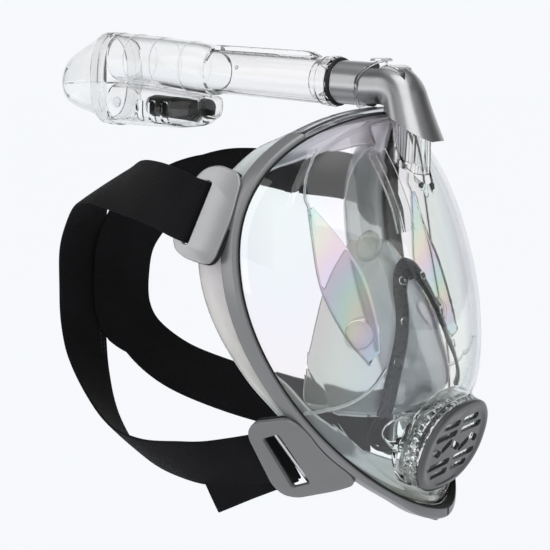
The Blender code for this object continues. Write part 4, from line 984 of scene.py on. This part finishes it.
def make_arch():
    leg = spline(ARCH_LEG, 10)
    path = [Vector((-p.x, p.y, p.z)) for p in reversed(leg)] + leg[1:]
    sections = []
    for i, point in enumerate(path):
        along = heading(path, i)
        normal = arch_normal(point.x)
        normal = (normal - along * along.dot(normal)).normalized()
        across = along.cross(normal)
        fraction = abs(i - (len(path) - 1) / 2) / ((len(path) - 1) / 2)
        half = 5.4 + 2.2 * max(0.0, 1 - abs(point.x) / 18) - 1.0 * fraction
        outline = fillet([(-half, -0.8), (half, -0.8), (half, 0.3), (0.6 * half, 1.3), (-0.6 * half, 1.3),
                          (-half, 0.3)], 0.5, 3)
        sections.append([point + across * p.x + normal * p.y for p in outline])
    arch = loft("nose_arch", sections)
    place(arch, "mask", ARCH_DARK, "arch_frame")
    coarse = spline(ARCH_LEG, 2)
    for word, sign in (("right", -1), ("left", 1)):
        for number, index in enumerate((3, 7, 11), 1):
            point = coarse[index]
            out = arch_normal(sign * point.x).normalized()
            stud = turned(f"arch_stud_{word}_{number}",
                          [(0, 2.6), (1.0, 2.6), (1.2, 3.0), (2.2, 3.0), (2.8, 2.4), (2.8, 1.6), (1.5, 1.4),
                           (1.5, -0.6), (0, -0.6)], Vector((sign * point.x, point.y, point.z)), out, 32)
            place(stud, "mask", INNER_CLEAR, f"frame_stud_{word}_{number}")


def make_exhale_channel():
    """The clear channel from the cup to the brow, with small cross ribs."""
    route = spline([(0, -66.5, 47), (0, -61, 64), (0, -52, 82), (0, -43, 96)], 10)
    half, deep = 7.0, 3.2
    outline = [(-1, 1), (-1, -0.5), (-0.6, -1), (0.6, -1), (1, -0.5), (1, 1), (0.82, 1), (0.82, -0.35),
               (0.5, -0.7), (-0.5, -0.7), (-0.82, -0.35), (-0.82, 1)]
    sections, ribs = [], []
    for i, point in enumerate(route):
        along = heading(route, i)
        back = ACROSS.cross(along)
        sections.append([point + Vector((a * half, 0, 0)) + back * b * deep for a, b in outline])
        if i % 4 == 2:
            ribs.append((point, along, back))
    channel = loft("exhale_strip", sections, sharp_deg=20)
    place(channel, "mask", INNER_CLEAR, "exhale_channel")
    bar = [(-5.6, -3.6), (5.6, -3.6), (5.6, -3.25), (-5.6, -3.25)]
    for number, (point, along, back) in enumerate(ribs, 1):
        rib = loft(f"exhale_rib_{number}", [[point + Vector((a, 0, 0)) + back * b + along * t for a, b in bar]
                                            for t in (-0.5, 0.5)])
        place(rib, "mask", INNER_CLEAR)


# ============================== chin drain ======================================================
def make_drain():
    def knurled(depth, scale, bumps):
        ring = drain_oval(depth, scale, 288)
        centre = COVER_CENTRE + TILT_OUT * depth
        return [centre + (p - centre) * (1 + bumps * max(0.0, math.sin(2 * math.pi * k * 36 / 288)))
                for k, p in enumerate(ring)]
    steps = [(-14.0, 0.965, 0), (-13.4, 0.985, 0), (-8.6, 0.985, 0), (-8.0, 0.975, 0.022), (-5.4, 0.985, 0.022),
             (-4.8, 0.965, 0), (-3.9, 0.965, 0), (-3.4, 0.985, 0.016), (-1.3, 0.985, 0.016), (-0.3, 0.95, 0)]
    rim = loft("drain_collar", [knurled(*step) for step in steps])
    cut(rim, loft("rim_bore", [drain_oval(-40, 0.72), drain_oval(10, 0.72)]))
    place(rim, "mask", INNER_CLEAR, "drain_rim")

    layers = [(0, 0.97), (0.1, 0.99), (0.7, 1.0), (1.9, 1.0), (2.9, 0.97), (3.4, 0.93), (3.4, 0.86), (2.6, 0.83)]
    cover = loft("drain_grille", [drain_oval(*layer) for layer in layers])
    slots = []
    for height, half in ((17.5, 14), (10.5, 20), (-9.5, 21), (-16.5, 15)):
        for sign in (-1, 1):
            slots.append(grille_slot(COVER_CENTRE + TILT_UP * height + ACROSS * sign * (3.4 + half * 0.55),
                                     half * 0.5, 2.3, 0.0))
    for k in range(5):
        at = COVER_CENTRE + ACROSS * (-22 + 11 * k) + TILT_UP * (0.6 + 2.2 * math.sin(k * 1.6))
        slots.append(grille_slot(at, 3.6, 2.4, math.radians(28 if k % 2 else -28)))
    for slot in slots:
        cut(cover, slot)
    bevel(cover, 0.45, 2, 50)
    place(cover, "mask", GRILLE_GREY, "drain_cover")


def grille_slot(centre, half_length, half_width, turn):
    """A straight slot with round ends, turned in the cover's plane."""
    along = ACROSS * math.cos(turn) + TILT_UP * math.sin(turn)
    up = TILT_UP * math.cos(turn) - ACROSS * math.sin(turn)
    outline = []
    for sign in (1, -1):
        for k in range(9):
            angle = -math.pi / 2 + math.pi * k / 8
            outline.append((sign * (half_length + half_width * math.cos(angle)),
                            sign * half_width * math.sin(angle)))
    return loft("slot", [[centre + along * a + up * b + TILT_OUT * depth for a, b in outline]
                         for depth in (-5, 12)])


def make_oval_seal():
    up = Vector((0, math.sin(OVAL_TILT), math.cos(OVAL_TILT)))
    out = Vector((0, -math.cos(OVAL_TILT), math.sin(OVAL_TILT)))
    ring = oval(OVAL_CENTRE, ACROSS, up, OVAL_HALF_W + RING_WIDER, OVAL_HALF_H + RING_HIGHER, 96)
    place(wire("oval_o_ring", ring, OVAL_WIRE + RING_THICKER, 16, closed=True), "mask",
          BLACK_RUBBER, "oval_seal_ring")
    stages = [(OVAL_CENTRE + out * 3.0, up, OVAL_HALF_W - 5.0, OVAL_HALF_H - 2.5),
              (OVAL_CENTRE + out * 9 + Vector((0, 0, -3.2)), up.lerp(TILT_UP, 0.4).normalized(), 19.0, 12.0),
              (COVER_CENTRE + TILT_OUT * -19, TILT_UP, 20.4, 18.5)]
    rows = [oval(c, ACROSS, u, w, h, 96) for c, u, w, h in stages]
    columns = [spline([row[k] for row in rows], 8) for k in range(96)]
    duct = sheet("purge_duct", [[column[i] for column in columns] for i in range(len(columns[0]))], 1.2,
                 loop_columns=True)
    place(duct, "mask", DUCT_CLEAR, "drain_duct")


# ============================== elbow and snorkel ===============================================
ALONG = Vector((0, math.cos(TUBE_PITCH), math.sin(TUBE_PITCH)))
ABOVE = Vector((0, -math.sin(TUBE_PITCH), math.cos(TUBE_PITCH)))


def on_tube(distance, height=0.0, x=0.0):
    """A point by its distance from the fold hinge along the snorkel's axis."""
    return HINGE + ALONG * distance + ABOVE * height + Vector((x, 0, 0))


def tube_oval(distance, centre_h, half_w, half_h, count=96, power=2.3):
    return oval(on_tube(distance, centre_h), ACROSS, ABOVE, half_w, half_h, count, power)


def elbow_path(steps):
    """The elbow's centre line and its radius at each point: level, then down and forwards, widening."""
    arc = arc_yz((0, ELBOW_BEND_Y, HINGE.z - ELBOW_BEND_R), ELBOW_BEND_R, 90, 180 - ELBOW_LEAN, steps)
    lean = math.radians(ELBOW_LEAN)
    y, z = arc[-1]
    leg = [(y - math.sin(lean) * t, z - math.cos(lean) * t) for t in (2.5 * k for k in range(1, 13))]
    path = [Vector((0, y, z)) for y, z in [(-30.0, HINGE.z)] + arc + leg]
    radii, gone, whole = [], 0.0, ELBOW_BEND_R * math.radians(90 - ELBOW_LEAN) + 20.0
    for i, point in enumerate(path):
        gone += (point - path[i - 1]).length if i > 1 else 0.0
        radii.append(ELBOW_R + (FOOT_R - ELBOW_R) * (gone / whole) ** 1.5)
    return path, radii


def make_elbow():
    path, radii = elbow_path(32)
    cowl = wire("elbow_shell", path, radii, 96)
    rear = arc_yz(HINGE, CHEEK_R, 85, -85, 40)
    outer = [(HINGE.y + 2, HINGE.z - 40), (HINGE.y + 50, HINGE.z - 40), (HINGE.y + 50, HINGE.z + 40),
             (HINGE.y + 2, HINGE.z + 40)]
    cut(cowl, prism_x("rear", rear + outer, 30))
    cut(cowl, prism_x("foot", [(-20, 126.6), (BASE_REAR[0], 126.6), BASE_REAR, BASE_FRONT,
                               (BASE_FRONT[0], 40), (-20, 40)], 30))
    swept = arc_yz(HINGE, CAVITY_R, 128, 314, 64) + arc_yz(HINGE, 26, -46, 128, 32)
    cut(cowl, prism_x("cavity", swept, CAVITY_HALF))
    cut(cowl, rod("airway", (0, PORT_Y, 70), (0, PORT_Y, 126), 8.5, 48))
    place(bevel(cowl, 0.5, 3, 50), "mask", GUNMETAL, "elbow_cowl")


def hinge_rod(name, half, radius):
    """A cylinder along the fold hinge."""
    return rod(name, HINGE + Vector((-half, 0, 0)), HINGE + Vector((half, 0, 0)), radius, 96)


def make_knuckle():
    knuckle = rod("fold_knuckle", on_tube(14), on_tube(COLLAR_END), COLLAR_R, 96)
    cut(knuckle, hinge_rod("hollow", 30, COLLAR_START))
    cut(knuckle, hinge_rod("drum", DRUM_HALF, DRUM_R), "UNION")
    neck = [[on_tube(s, h, x) for x, h in ((-DRUM_HALF, -NECK_HALF), (DRUM_HALF, -NECK_HALF),
                                           (DRUM_HALF, NECK_HALF), (-DRUM_HALF, NECK_HALF))] for s in (4, 26)]
    cut(knuckle, loft("neck", neck), "UNION")
    cut(knuckle, rod("mouth", on_tube(30), on_tube(70), SPIGOT_R - SPIGOT_WALL, 64))
    place(bevel(knuckle, 0.5, 3, 50), "snorkel", SILVER, "snorkel_knuckle")
    reach, hole = SPIGOT_END - COLLAR_END, SPIGOT_R - SPIGOT_WALL
    spigot = turned("tube_spigot", [(SPIGOT_R, 0.2), (SPIGOT_R, reach - 0.6), (SPIGOT_R - 0.6, reach),
                                    (hole, reach), (hole, 0.2)], on_tube(COLLAR_END), ALONG, 96)
    place(spigot, "snorkel", TUBE_CLEAR)
    tongue = prism_x("tube_tongue", arc_yz(HINGE, 13.3, 58, 126, 32) + arc_yz(HINGE, 12.3, 126, 58, 32), 7.4)
    place(bevel(tongue, 0.3, 2, 50), "snorkel", INNER_CLEAR, "slot_tongue")
    wave = []
    for k in range(96):
        angle = 2 * math.pi * k / 96
        height = math.sin(angle)
        reach = 22.6 - 13.0 * max(0.0, height) ** 1.6 - 3.4 * (1 - abs(height)) + 0.8 * math.sin(3 * angle)
        wave.append(on_tube(reach, 15.0 * height, 14.9 * math.cos(angle)))
    place(wire("collar_flange", wave, 0.85, 12, closed=True), "snorkel", INNER_CLEAR)
    clip = loft("collar_clip", [[on_tube(s, h, x) for s, h in fillet([(6.5, 14.9), (15.5, 14.6), (15.0, 16.4),
                                                                     (9.0, 17.0), (6.5, 16.2)], 0.7, 3)]
                                for x in (-6.0, 6.0)])
    for x in (-3.0, 0.0, 3.0):
        cut(clip, rod("groove", on_tube(5, 17.2, x), on_tube(17, 17.0, x), 0.7, 12))
    place(bevel(clip, 0.3, 2, 50), "snorkel", INNER_CLEAR)


def make_tube():
    """The black O-ring, and the clear tube with its beads and the raised strip along its top."""
    middle = (COLLAR_END + TUBE_START) / 2
    radius = (TUBE_START - COLLAR_END) / 2 - 0.3
    ring = oval(on_tube(middle), ACROSS, ABOVE, 14.15, 14.15, 96)
    place(wire("tube_seal_ring", ring, radius, 20, closed=True), "snorkel", BLACK_RUBBER,
          "tube_o_ring")
    length = TUBE_END - TUBE_START
    bore = TUBE_R - TUBE_WALL
    profile = [(TUBE_R, length), (TUBE_R, 9.2), (TUBE_R + 0.6, 8.8), (TUBE_R + 0.6, 8.0), (TUBE_R, 7.6),
               (TUBE_R, 5.0), (TUBE_R + 1.1, 4.4), (TUBE_R + 1.2, 3.9), (TUBE_R + 1.2, 0.5), (TUBE_R + 0.7, 0),
               (bore, 0), (bore, length)]
    tube = turned("breathing_tube", profile, on_tube(TUBE_START), ALONG, 96)
    strip = []
    for s, top in ((60, 0.2), (62, 1.2), (65, 2.4), (70, 3.0), (TUBE_END, 3.0)):
        foot, ridge = TUBE_R - 1.4, TUBE_R + top
        outline = fillet([(-5, foot), (5, foot), (4.2, ridge), (-4.2, ridge)], 0.9, 3)
        strip.append([on_tube(s, p.y, p.x) for p in outline])
    cut(tube, loft("strip", strip), "UNION")
    for s in range(74, 135, 10):
        notch = [(s - 1.1, TUBE_R + 3.4), (s + 1.1, TUBE_R + 3.4), (s, TUBE_R + 2.0)]
        cut(tube, loft("groove", [[on_tube(along, height, x) for along, height in notch] for x in (-3.0, 3.0)]))
    place(tube, "snorkel", TUBE_CLEAR, "snorkel_tube")
    pip = turned("tube_gate_mark", [(0, 0.5), (1.4, 0.4), (1.6, 0.0), (0, 0.0)],
                 on_tube(TUBE_START + 74, 4.5, -math.sqrt(TUBE_R ** 2 - 4.5 ** 2)),
                 Vector((-0.95, 0, 0)) + ABOVE * 0.3, 24)
    place(pip, "snorkel", SMOKE_CLEAR)


def chamber(s, bottom, half, top, grow=0.0):
    return tube_oval(s, (top + bottom) / 2, half + grow, (top - bottom) / 2 + grow, 96, 3.0)


def float_section(s, grow, count=72):
    return tube_oval(s, -28.0, 11.4 + grow, 8.2 + grow, count, 3.0)


def ring_section(s, grow):
    return tube_oval(s, -11.8, 20.6 + grow, 34.0 + grow, 128, 2.4)


def make_dry_top():
    start = TUBE_END + 0.3
    shell = [(start, 0.0, 16.2, 16.2), (start + 2.5, 0.3, 16.9, 16.9), (start + 8, 1.0, 17.2, 17.2),
             (start + 50, 3.6, 17.8, 17.2), (HEAD_END - 0.3, 4.4, 18.4, 17.4)]
    barrel = loft("head_barrel", [tube_oval(*row) for row in shell])
    bore = [(start - 5, 0.2, 13.2, 13.2), (start + 3, 0.4, 14.6, 14.6), (start + 8, 1.0, 15.4, 15.4),
            (start + 50, 3.6, 16.0, 15.4), (HEAD_END + 5, 4.4, 16.6, 15.6)]
    cut(barrel, loft("barrel_bore", [tube_oval(*row) for row in bore]))
    place(barrel, "snorkel", TUBE_CLEAR, "drytop_housing")
    for number, s in enumerate((168, 196, 222), 1):
        hoop = tube_oval(s, 1.0 + (s - 154) * 0.041, 17.9, 17.5)
        rib = wire(f"barrel_bead_{number}", hoop, 0.55, 10, closed=True)
        place(rib, "snorkel", TUBE_CLEAR)

    outer = [(151, -28, 10.5, -17.0), (152, -31.5, 12.9, -16.95), (153.5, -34.6, 14.4, -16.9),
             (160, -39, 15.8, -16.7), (172, -41.5, 16.6, -16.0), (200, -43, 17.0, -14.4),
             (HEAD_END - 0.3, -44.5, 17.5, -14.0)]
    inner = [(153.6, -31, 12.0, -18.6), (160, -37.2, 14.0, -18.4), (172, -39.6, 14.8, -17.8),
             (200, -41.2, 15.2, -16.2), (HEAD_END + 5, -42.6, 15.7, -15.8)]
    cage = loft("float_chamber", [chamber(*row) for row in outer])
    cut(cage, loft("hollow", [chamber(*row) for row in inner]))
    for s in (182, 194, 206):
        outline = fillet([(-3.2, -38.5), (3.2, -38.5), (3.2, -23.5), (-3.2, -23.5)], 2.2, 5)
        cut(cage, loft("window", [[on_tube(s + p.x, p.y, x) for p in outline] for x in (-30, 30)]))
    place(cage, "snorkel", TUBE_CLEAR, "float_cage")
    for number, s in enumerate((164, 173, 188, 200), 1):
        hoop = []
        for k in range(65):
            ring = chamber(s, -41.3 - (s - 172) * 0.05, 16.3 + (s - 172) * 0.012, -16.0, 0.55)
            hoop.append(ring[int(48 + 48 * k / 64) % 96])
        rib = wire(f"chamber_rib_{number}", hoop, 0.8, 10)
        place(rib, "snorkel", TUBE_CLEAR)
    disc = turned("chamber_disc", [(0, 0.9), (3.4, 0.9), (3.9, 0.4), (3.9, -0.2), (0, -0.2)],
                  on_tube(228, -27, -17.6), (-1, 0, 0), 40)
    place(disc, "snorkel", SILICONE)

    profile = [(FLOAT_START + s, grow) for s, grow in ((0, -3.2), (0.8, -1.2), (2.5, 0), (20, 0), (20.6, -0.9),
                                                       (22.4, -0.9), (23, 0))]
    profile += [(FLOAT_END - 2.0, 0), (FLOAT_END - 0.6, -0.8), (FLOAT_END, -1.8)]
    body = loft("float_body", [float_section(*row) for row in profile])
    place(body, "float", BLACK_PLASTIC, "float")
    pad = loft("float_pad", [float_section(FLOAT_END + s, grow)
                             for s, grow in ((0.3, -1.0), (2.0, -1.0), (2.8, -1.6), (3.2, -3.0))])
    place(pad, "float", SILICONE, "float_seal")

    profile = [(HEAD_END, -0.9), (HEAD_END + 0.4, -0.3), (HEAD_END + 1.4, 0), (HEAD_END + 5.2, 0),
               (HEAD_END + 5.8, -0.8), (HEAD_END + 6.8, -0.8), (HEAD_END + 7.4, 0), (RING_END - 1.4, 0),
               (RING_END - 0.4, -0.3), (RING_END, -0.9)]
    band = loft("head_band", [ring_section(s, grow) for s, grow in profile])
    cut(band, loft("bore", [ring_section(HEAD_END - 5, -2.8), ring_section(RING_END + 5, -2.8)]))
    place(band, "snorkel", BAND_CLEAR, "band_ring")

    def cone(s, top, bottom, half, shrink=0.0):
        return tube_oval(s, (top + bottom) / 2, half - shrink, (top - bottom) / 2 - shrink, 128, 2.3)
    start = RING_END + 0.3
    shape = [(start, 21.4, -45.0, 20.0), (start + 10, 16.5, -40.0, 18.6), (start + 21, 11.0, -38.0, 17.0),
             (start + 32, 5.0, -35.5, 14.8), (start + 40, -1.0, -32.5, 11.4), (NOSE_END, -8.5, -27.5, 6.5)]
    fine = [tuple(p) for p in spline([Vector(r) for r in shape], 5)]
    nose = loft("nose_shell", [cone(*row) for row in fine])
    inside = [cone(start - 5, 24.0, -47.0, 21.2, 1.8)] + [cone(*row, 1.8) for row in fine[3:21]]
    cut(nose, loft("nose_bore", inside))
    place(nose, "snorkel", TUBE_CLEAR, "nose_cone")
    wall = []
    for s, top, bottom, half in fine[1:19]:
        level, side = top - (top - bottom) * 0.56, half - 2.2
        wall.append([on_tube(s, level + b, a * side) for a, b in ((-1, -0.5), (1, -0.5), (1, 0.5), (-1, 0.5))])
    place(loft("nose_divider", wall), "snorkel", TUBE_CLEAR)


def make_air_port():
    """A faceted clear cup round the air hole, with ten flat sides."""
    levels = [(60, PORT_R - 0.9), (90, PORT_R), (132, PORT_R)]
    port = loft("port_cup", [oval(Vector((0, PORT_Y, z)), ACROSS, Vector((0, 1, 0)), r, r, 10)
                             for z, r in levels], sharp_deg=20)
    cut(port, rod("port_bore", (0, PORT_Y, 40), (0, PORT_Y, 140), PORT_R - PORT_WALL, 48))
    (y0, z0), (y1, z1) = BASE_REAR, BASE_FRONT
    cut(port, prism_x("above", [(-40, z0 + 8.2), (y0, z0 - 1.8), (y1, z1 - 1.8), (y1, 160), (-40, 160)], 30))
    cut(port, prism_x("below", [(-40, 98), (y0, 92), (y1, 74), (y1, 40), (-40, 40)], 30))
    place(bevel(port, 0.35, 2, 30), "mask", INNER_CLEAR, "air_port")


# ============================== clear walls inside the lens =====================================
def ribbon(name, centre_line, edge_line, wall, per_span=8, columns=6, bulge=0.0):
    """A thin curved wall between two lines of points, bulged along its own normal."""
    a_line, b_line = spline(centre_line, per_span), spline(edge_line, per_span)
    rows = []
    for i, (a, b) in enumerate(zip(a_line, b_line)):
        normal = heading(a_line, i).cross(b - a).normalized()
        rows.append([a.lerp(b, k / columns) + normal * bulge * math.sin(math.pi * k / columns)
                     for k in range(columns + 1)])
    return sheet(name, rows, wall)


CHEEK_TIP = [(-55, -37.8, 100.6), (-57, -32.6, 84.8), (-57, -31.2, 71.4)]
CHEEK_REAR = [(-57, -34.3, 64.3), (-56, -36.7, 44.7), (-53, -41.6, 15.1), (-50, -57.1, -11.4),
              (-48, -74.5, -27.9)]
CHEEK_FRONT = [(-56.5, -36.2, 65.6), (-47, -52.7, 44), (-43, -65.7, 25.2), (-43, -75.7, -0.7),
               (-45, -79.6, -19.5)]
CHIN_RIB = [(-62, -35.8, -62.2), (-61, -50.5, -57.7), (-59, -67.8, -50.4), (-56, -81.7, -39.2),
            (-52, -88.8, -26.5)]
DOME_CENTRE, DOME_HALF = Vector((-24, -55.3, 40.2)), 13.0


def make_inner_walls():
    """Stressed clear walls at the cup's sides, the beads that edge them, and the dome over the nose."""
    for word, sign in (("right", 1), ("left", -1)):
        def side(points):
            return [Vector((x * sign, y, z)) for x, y, z in points]
        front = side(CHEEK_REAR)
        wall = ribbon(f"cheek_wall_{word}", front, side(CHEEK_FRONT), 1.0, 8, 12, 3.0 * sign)
        place(wall, "mask", IRIDESCENT)
        bead = wire(f"cheek_bead_{word}", spline(side(CHEEK_TIP) + front, 10), 0.85, 12)
        place(bead, "mask", WHITE_CLEAR)
        rib = wire(f"chin_rib_{word}", spline(side(CHIN_RIB), 10), 1.1, 12)
        place(rib, "mask", WHITE_CLEAR)
    rows = []
    for k in range(13):
        tilt = math.pi / 2 * k / 12
        rows.append([DOME_CENTRE + Vector((DOME_HALF * math.cos(tilt) * math.cos(t), -6.0 * math.sin(tilt),
                                           0.75 * DOME_HALF * max(0.02, math.cos(tilt)) * math.sin(t)))
                     for t in (2 * math.pi * j / 48 for j in range(48))])
    dome = sheet("nose_dome", rows, 0.8, loop_columns=True)
    place(dome, "mask", SOFT_CLEAR)


# ============================== CAD pieces kept as they are ======================================
def dress_cad():
    looks = {"strap_bar_right": STEEL, "strap_bar_left": STEEL, "chin_clamp": FRAME_GREY, "chin_screw": STEEL,
             "fold_pin": STEEL, "elbow_gasket": BLACK_RUBBER, "purge_seat": GRILLE_GREY,
             "purge_membrane": SOFT_CLEAR}
    for name, look in looks.items():
        for place_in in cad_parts[name].material_slots:
            place_in.material = look


# ============================== light, floor and camera ==========================================
def grey_ramp(tree, value, stops, blue=1.0):
    """A ramp of greys in a node tree: each stop is (position, grey)."""
    ramp = tree.nodes.new("ShaderNodeValToRGB")
    elements = ramp.color_ramp.elements
    while len(elements) < len(stops):
        elements.new(0.5)
    for element, (position, grey) in zip(elements, stops):
        element.position = position
        element.color = (grey, grey, grey * blue, 1)
    tree.links.new(value, ramp.inputs["Fac"])
    return ramp.outputs["Color"]


def make_world():
    """Studio surround by direction: bright band round the horizon, dark band above it, bright overhead."""
    world = bpy.data.worlds.new("studio")
    bpy.context.scene.world = world
    world.use_nodes = True
    tree = world.node_tree
    tree.nodes.clear()
    out = tree.nodes.new("ShaderNodeOutputWorld")
    coordinates = tree.nodes.new("ShaderNodeTexCoord")
    split = tree.nodes.new("ShaderNodeSeparateXYZ")
    tree.links.new(coordinates.outputs["Generated"], split.inputs[0])

    lift = tree.nodes.new("ShaderNodeMapRange")
    lift.inputs["From Min"].default_value = -1.0
    tree.links.new(split.outputs["Z"], lift.inputs["Value"])
    bands = grey_ramp(tree, lift.outputs["Result"], [(0.0, 0.93), (0.48, 0.95), (0.60, 1.0), (0.72, 1.0),
                                                     (0.80, 0.30), (0.90, 0.22), (0.95, 1.0), (1.0, 1.25)], 1.01)

    side = tree.nodes.new("ShaderNodeVectorMath")
    side.operation = "DOT_PRODUCT"
    azimuth = math.radians(CAMERA_AZIMUTH)
    side.inputs[1].default_value = (math.cos(azimuth), -math.sin(azimuth), 0)
    tree.links.new(coordinates.outputs["Generated"], side.inputs[0])
    size = tree.nodes.new("ShaderNodeMath")
    size.operation = "ABSOLUTE"
    tree.links.new(side.outputs["Value"], size.inputs[0])
    cards = grey_ramp(tree, size.outputs[0], [(0.70, 1.0), (0.90, 0.14)])
    both = tree.nodes.new("ShaderNodeMix")
    both.data_type, both.blend_type = "RGBA", "MULTIPLY"
    both.inputs[0].default_value = 1.0
    tree.links.new(bands, both.inputs[6])
    tree.links.new(cards, both.inputs[7])

    studio = tree.nodes.new("ShaderNodeBackground")
    tree.links.new(both.outputs[2], studio.inputs["Color"])
    backdrop = tree.nodes.new("ShaderNodeBackground")
    backdrop.inputs["Color"].default_value = (*BACKDROP, 1)
    path = tree.nodes.new("ShaderNodeLightPath")
    choose = tree.nodes.new("ShaderNodeMixShader")
    tree.links.new(path.outputs["Is Camera Ray"], choose.inputs[0])
    tree.links.new(studio.outputs[0], choose.inputs[1])
    tree.links.new(backdrop.outputs[0], choose.inputs[2])
    tree.links.new(choose.outputs[0], out.inputs["Surface"])


BACKDROP = (0.930, 0.947, 0.973)


def make_floor():
    """A big pale floor, evenly lit so that it runs into the backdrop."""
    bpy.ops.mesh.primitive_circle_add(vertices=96, radius=14.0, fill_type="NGON", location=(0, 0, -0.32))
    floor = bpy.context.object
    floor.name = "studio_floor"
    look = Look("floor_pale", (0.02, 0.02, 0.02), 0.9)
    look.set("Specular IOR Level", 0.0)
    tone = look.mix(BACKDROP, tuple(0.995 * c for c in BACKDROP), look.noise(3.0, 2.0))
    look.link(tone, look.shader.inputs["Emission Color"])
    look.set("Emission Strength", 0.985)
    floor.data.materials.append(look.material)


def area_light(name, location, aim, width, height, power, colour=(1, 1, 1)):
    data = bpy.data.lights.new(name, "AREA")
    data.shape = "RECTANGLE"
    data.size, data.size_y = width, height
    data.energy = power
    data.color = colour
    light = add_object(name, data)
    light.location = location
    light.rotation_euler = (Vector(aim) - Vector(location)).to_track_quat("-Z", "Y").to_euler()
    light.visible_camera = False
    light.visible_transmission = False
    return light


def make_camera():
    azimuth, elevation = math.radians(CAMERA_AZIMUTH), math.radians(CAMERA_ELEVATION)
    away = Vector((-math.sin(azimuth) * math.cos(elevation), -math.cos(azimuth) * math.cos(elevation),
                   math.sin(elevation)))
    data = bpy.data.cameras.new("photo_camera")
    data.lens = CAMERA_LENS
    data.sensor_width = 36.0
    camera = add_object("photo_camera", data)
    camera.location = CAMERA_TARGET + away * CAMERA_DISTANCE
    camera.rotation_euler = (-away).to_track_quat("-Z", "Y").to_euler()
    bpy.context.scene.camera = camera
    right = Vector((math.cos(azimuth), -math.sin(azimuth), 0))
    up = Vector((0, 0, 1))
    key = CAMERA_TARGET + away * 0.7 + right * 0.05 + up * 0.75
    side = CAMERA_TARGET + away * 0.3 - right * 1.1 + up * 0.25
    area_light("key_light", key, CAMERA_TARGET, 0.8, 1.1, 7.0)
    area_light("side_light", side, CAMERA_TARGET, 0.4, 1.2, 3.0)


def make_settings():
    scene = bpy.context.scene
    scene.view_settings.view_transform = "Standard"
    scene.view_settings.look = "None"
    cycles = scene.cycles
    cycles.max_bounces = cycles.transmission_bounces = 24
    cycles.glossy_bounces = 10
    cycles.diffuse_bounces = 4
    cycles.transparent_max_bounces = 32
    cycles.sample_clamp_indirect = 4.0
    cycles.caustics_reflective = False
    cycles.use_denoising = True


for make in (make_lens, make_band, make_tabs, make_skirt, make_cup, make_arch, make_exhale_channel,
             make_inner_walls, make_drain, make_oval_seal, make_elbow, make_air_port, make_knuckle, make_tube,
             make_dry_top, make_straps, dress_cad, make_world, make_floor, make_camera, make_settings):
    make()
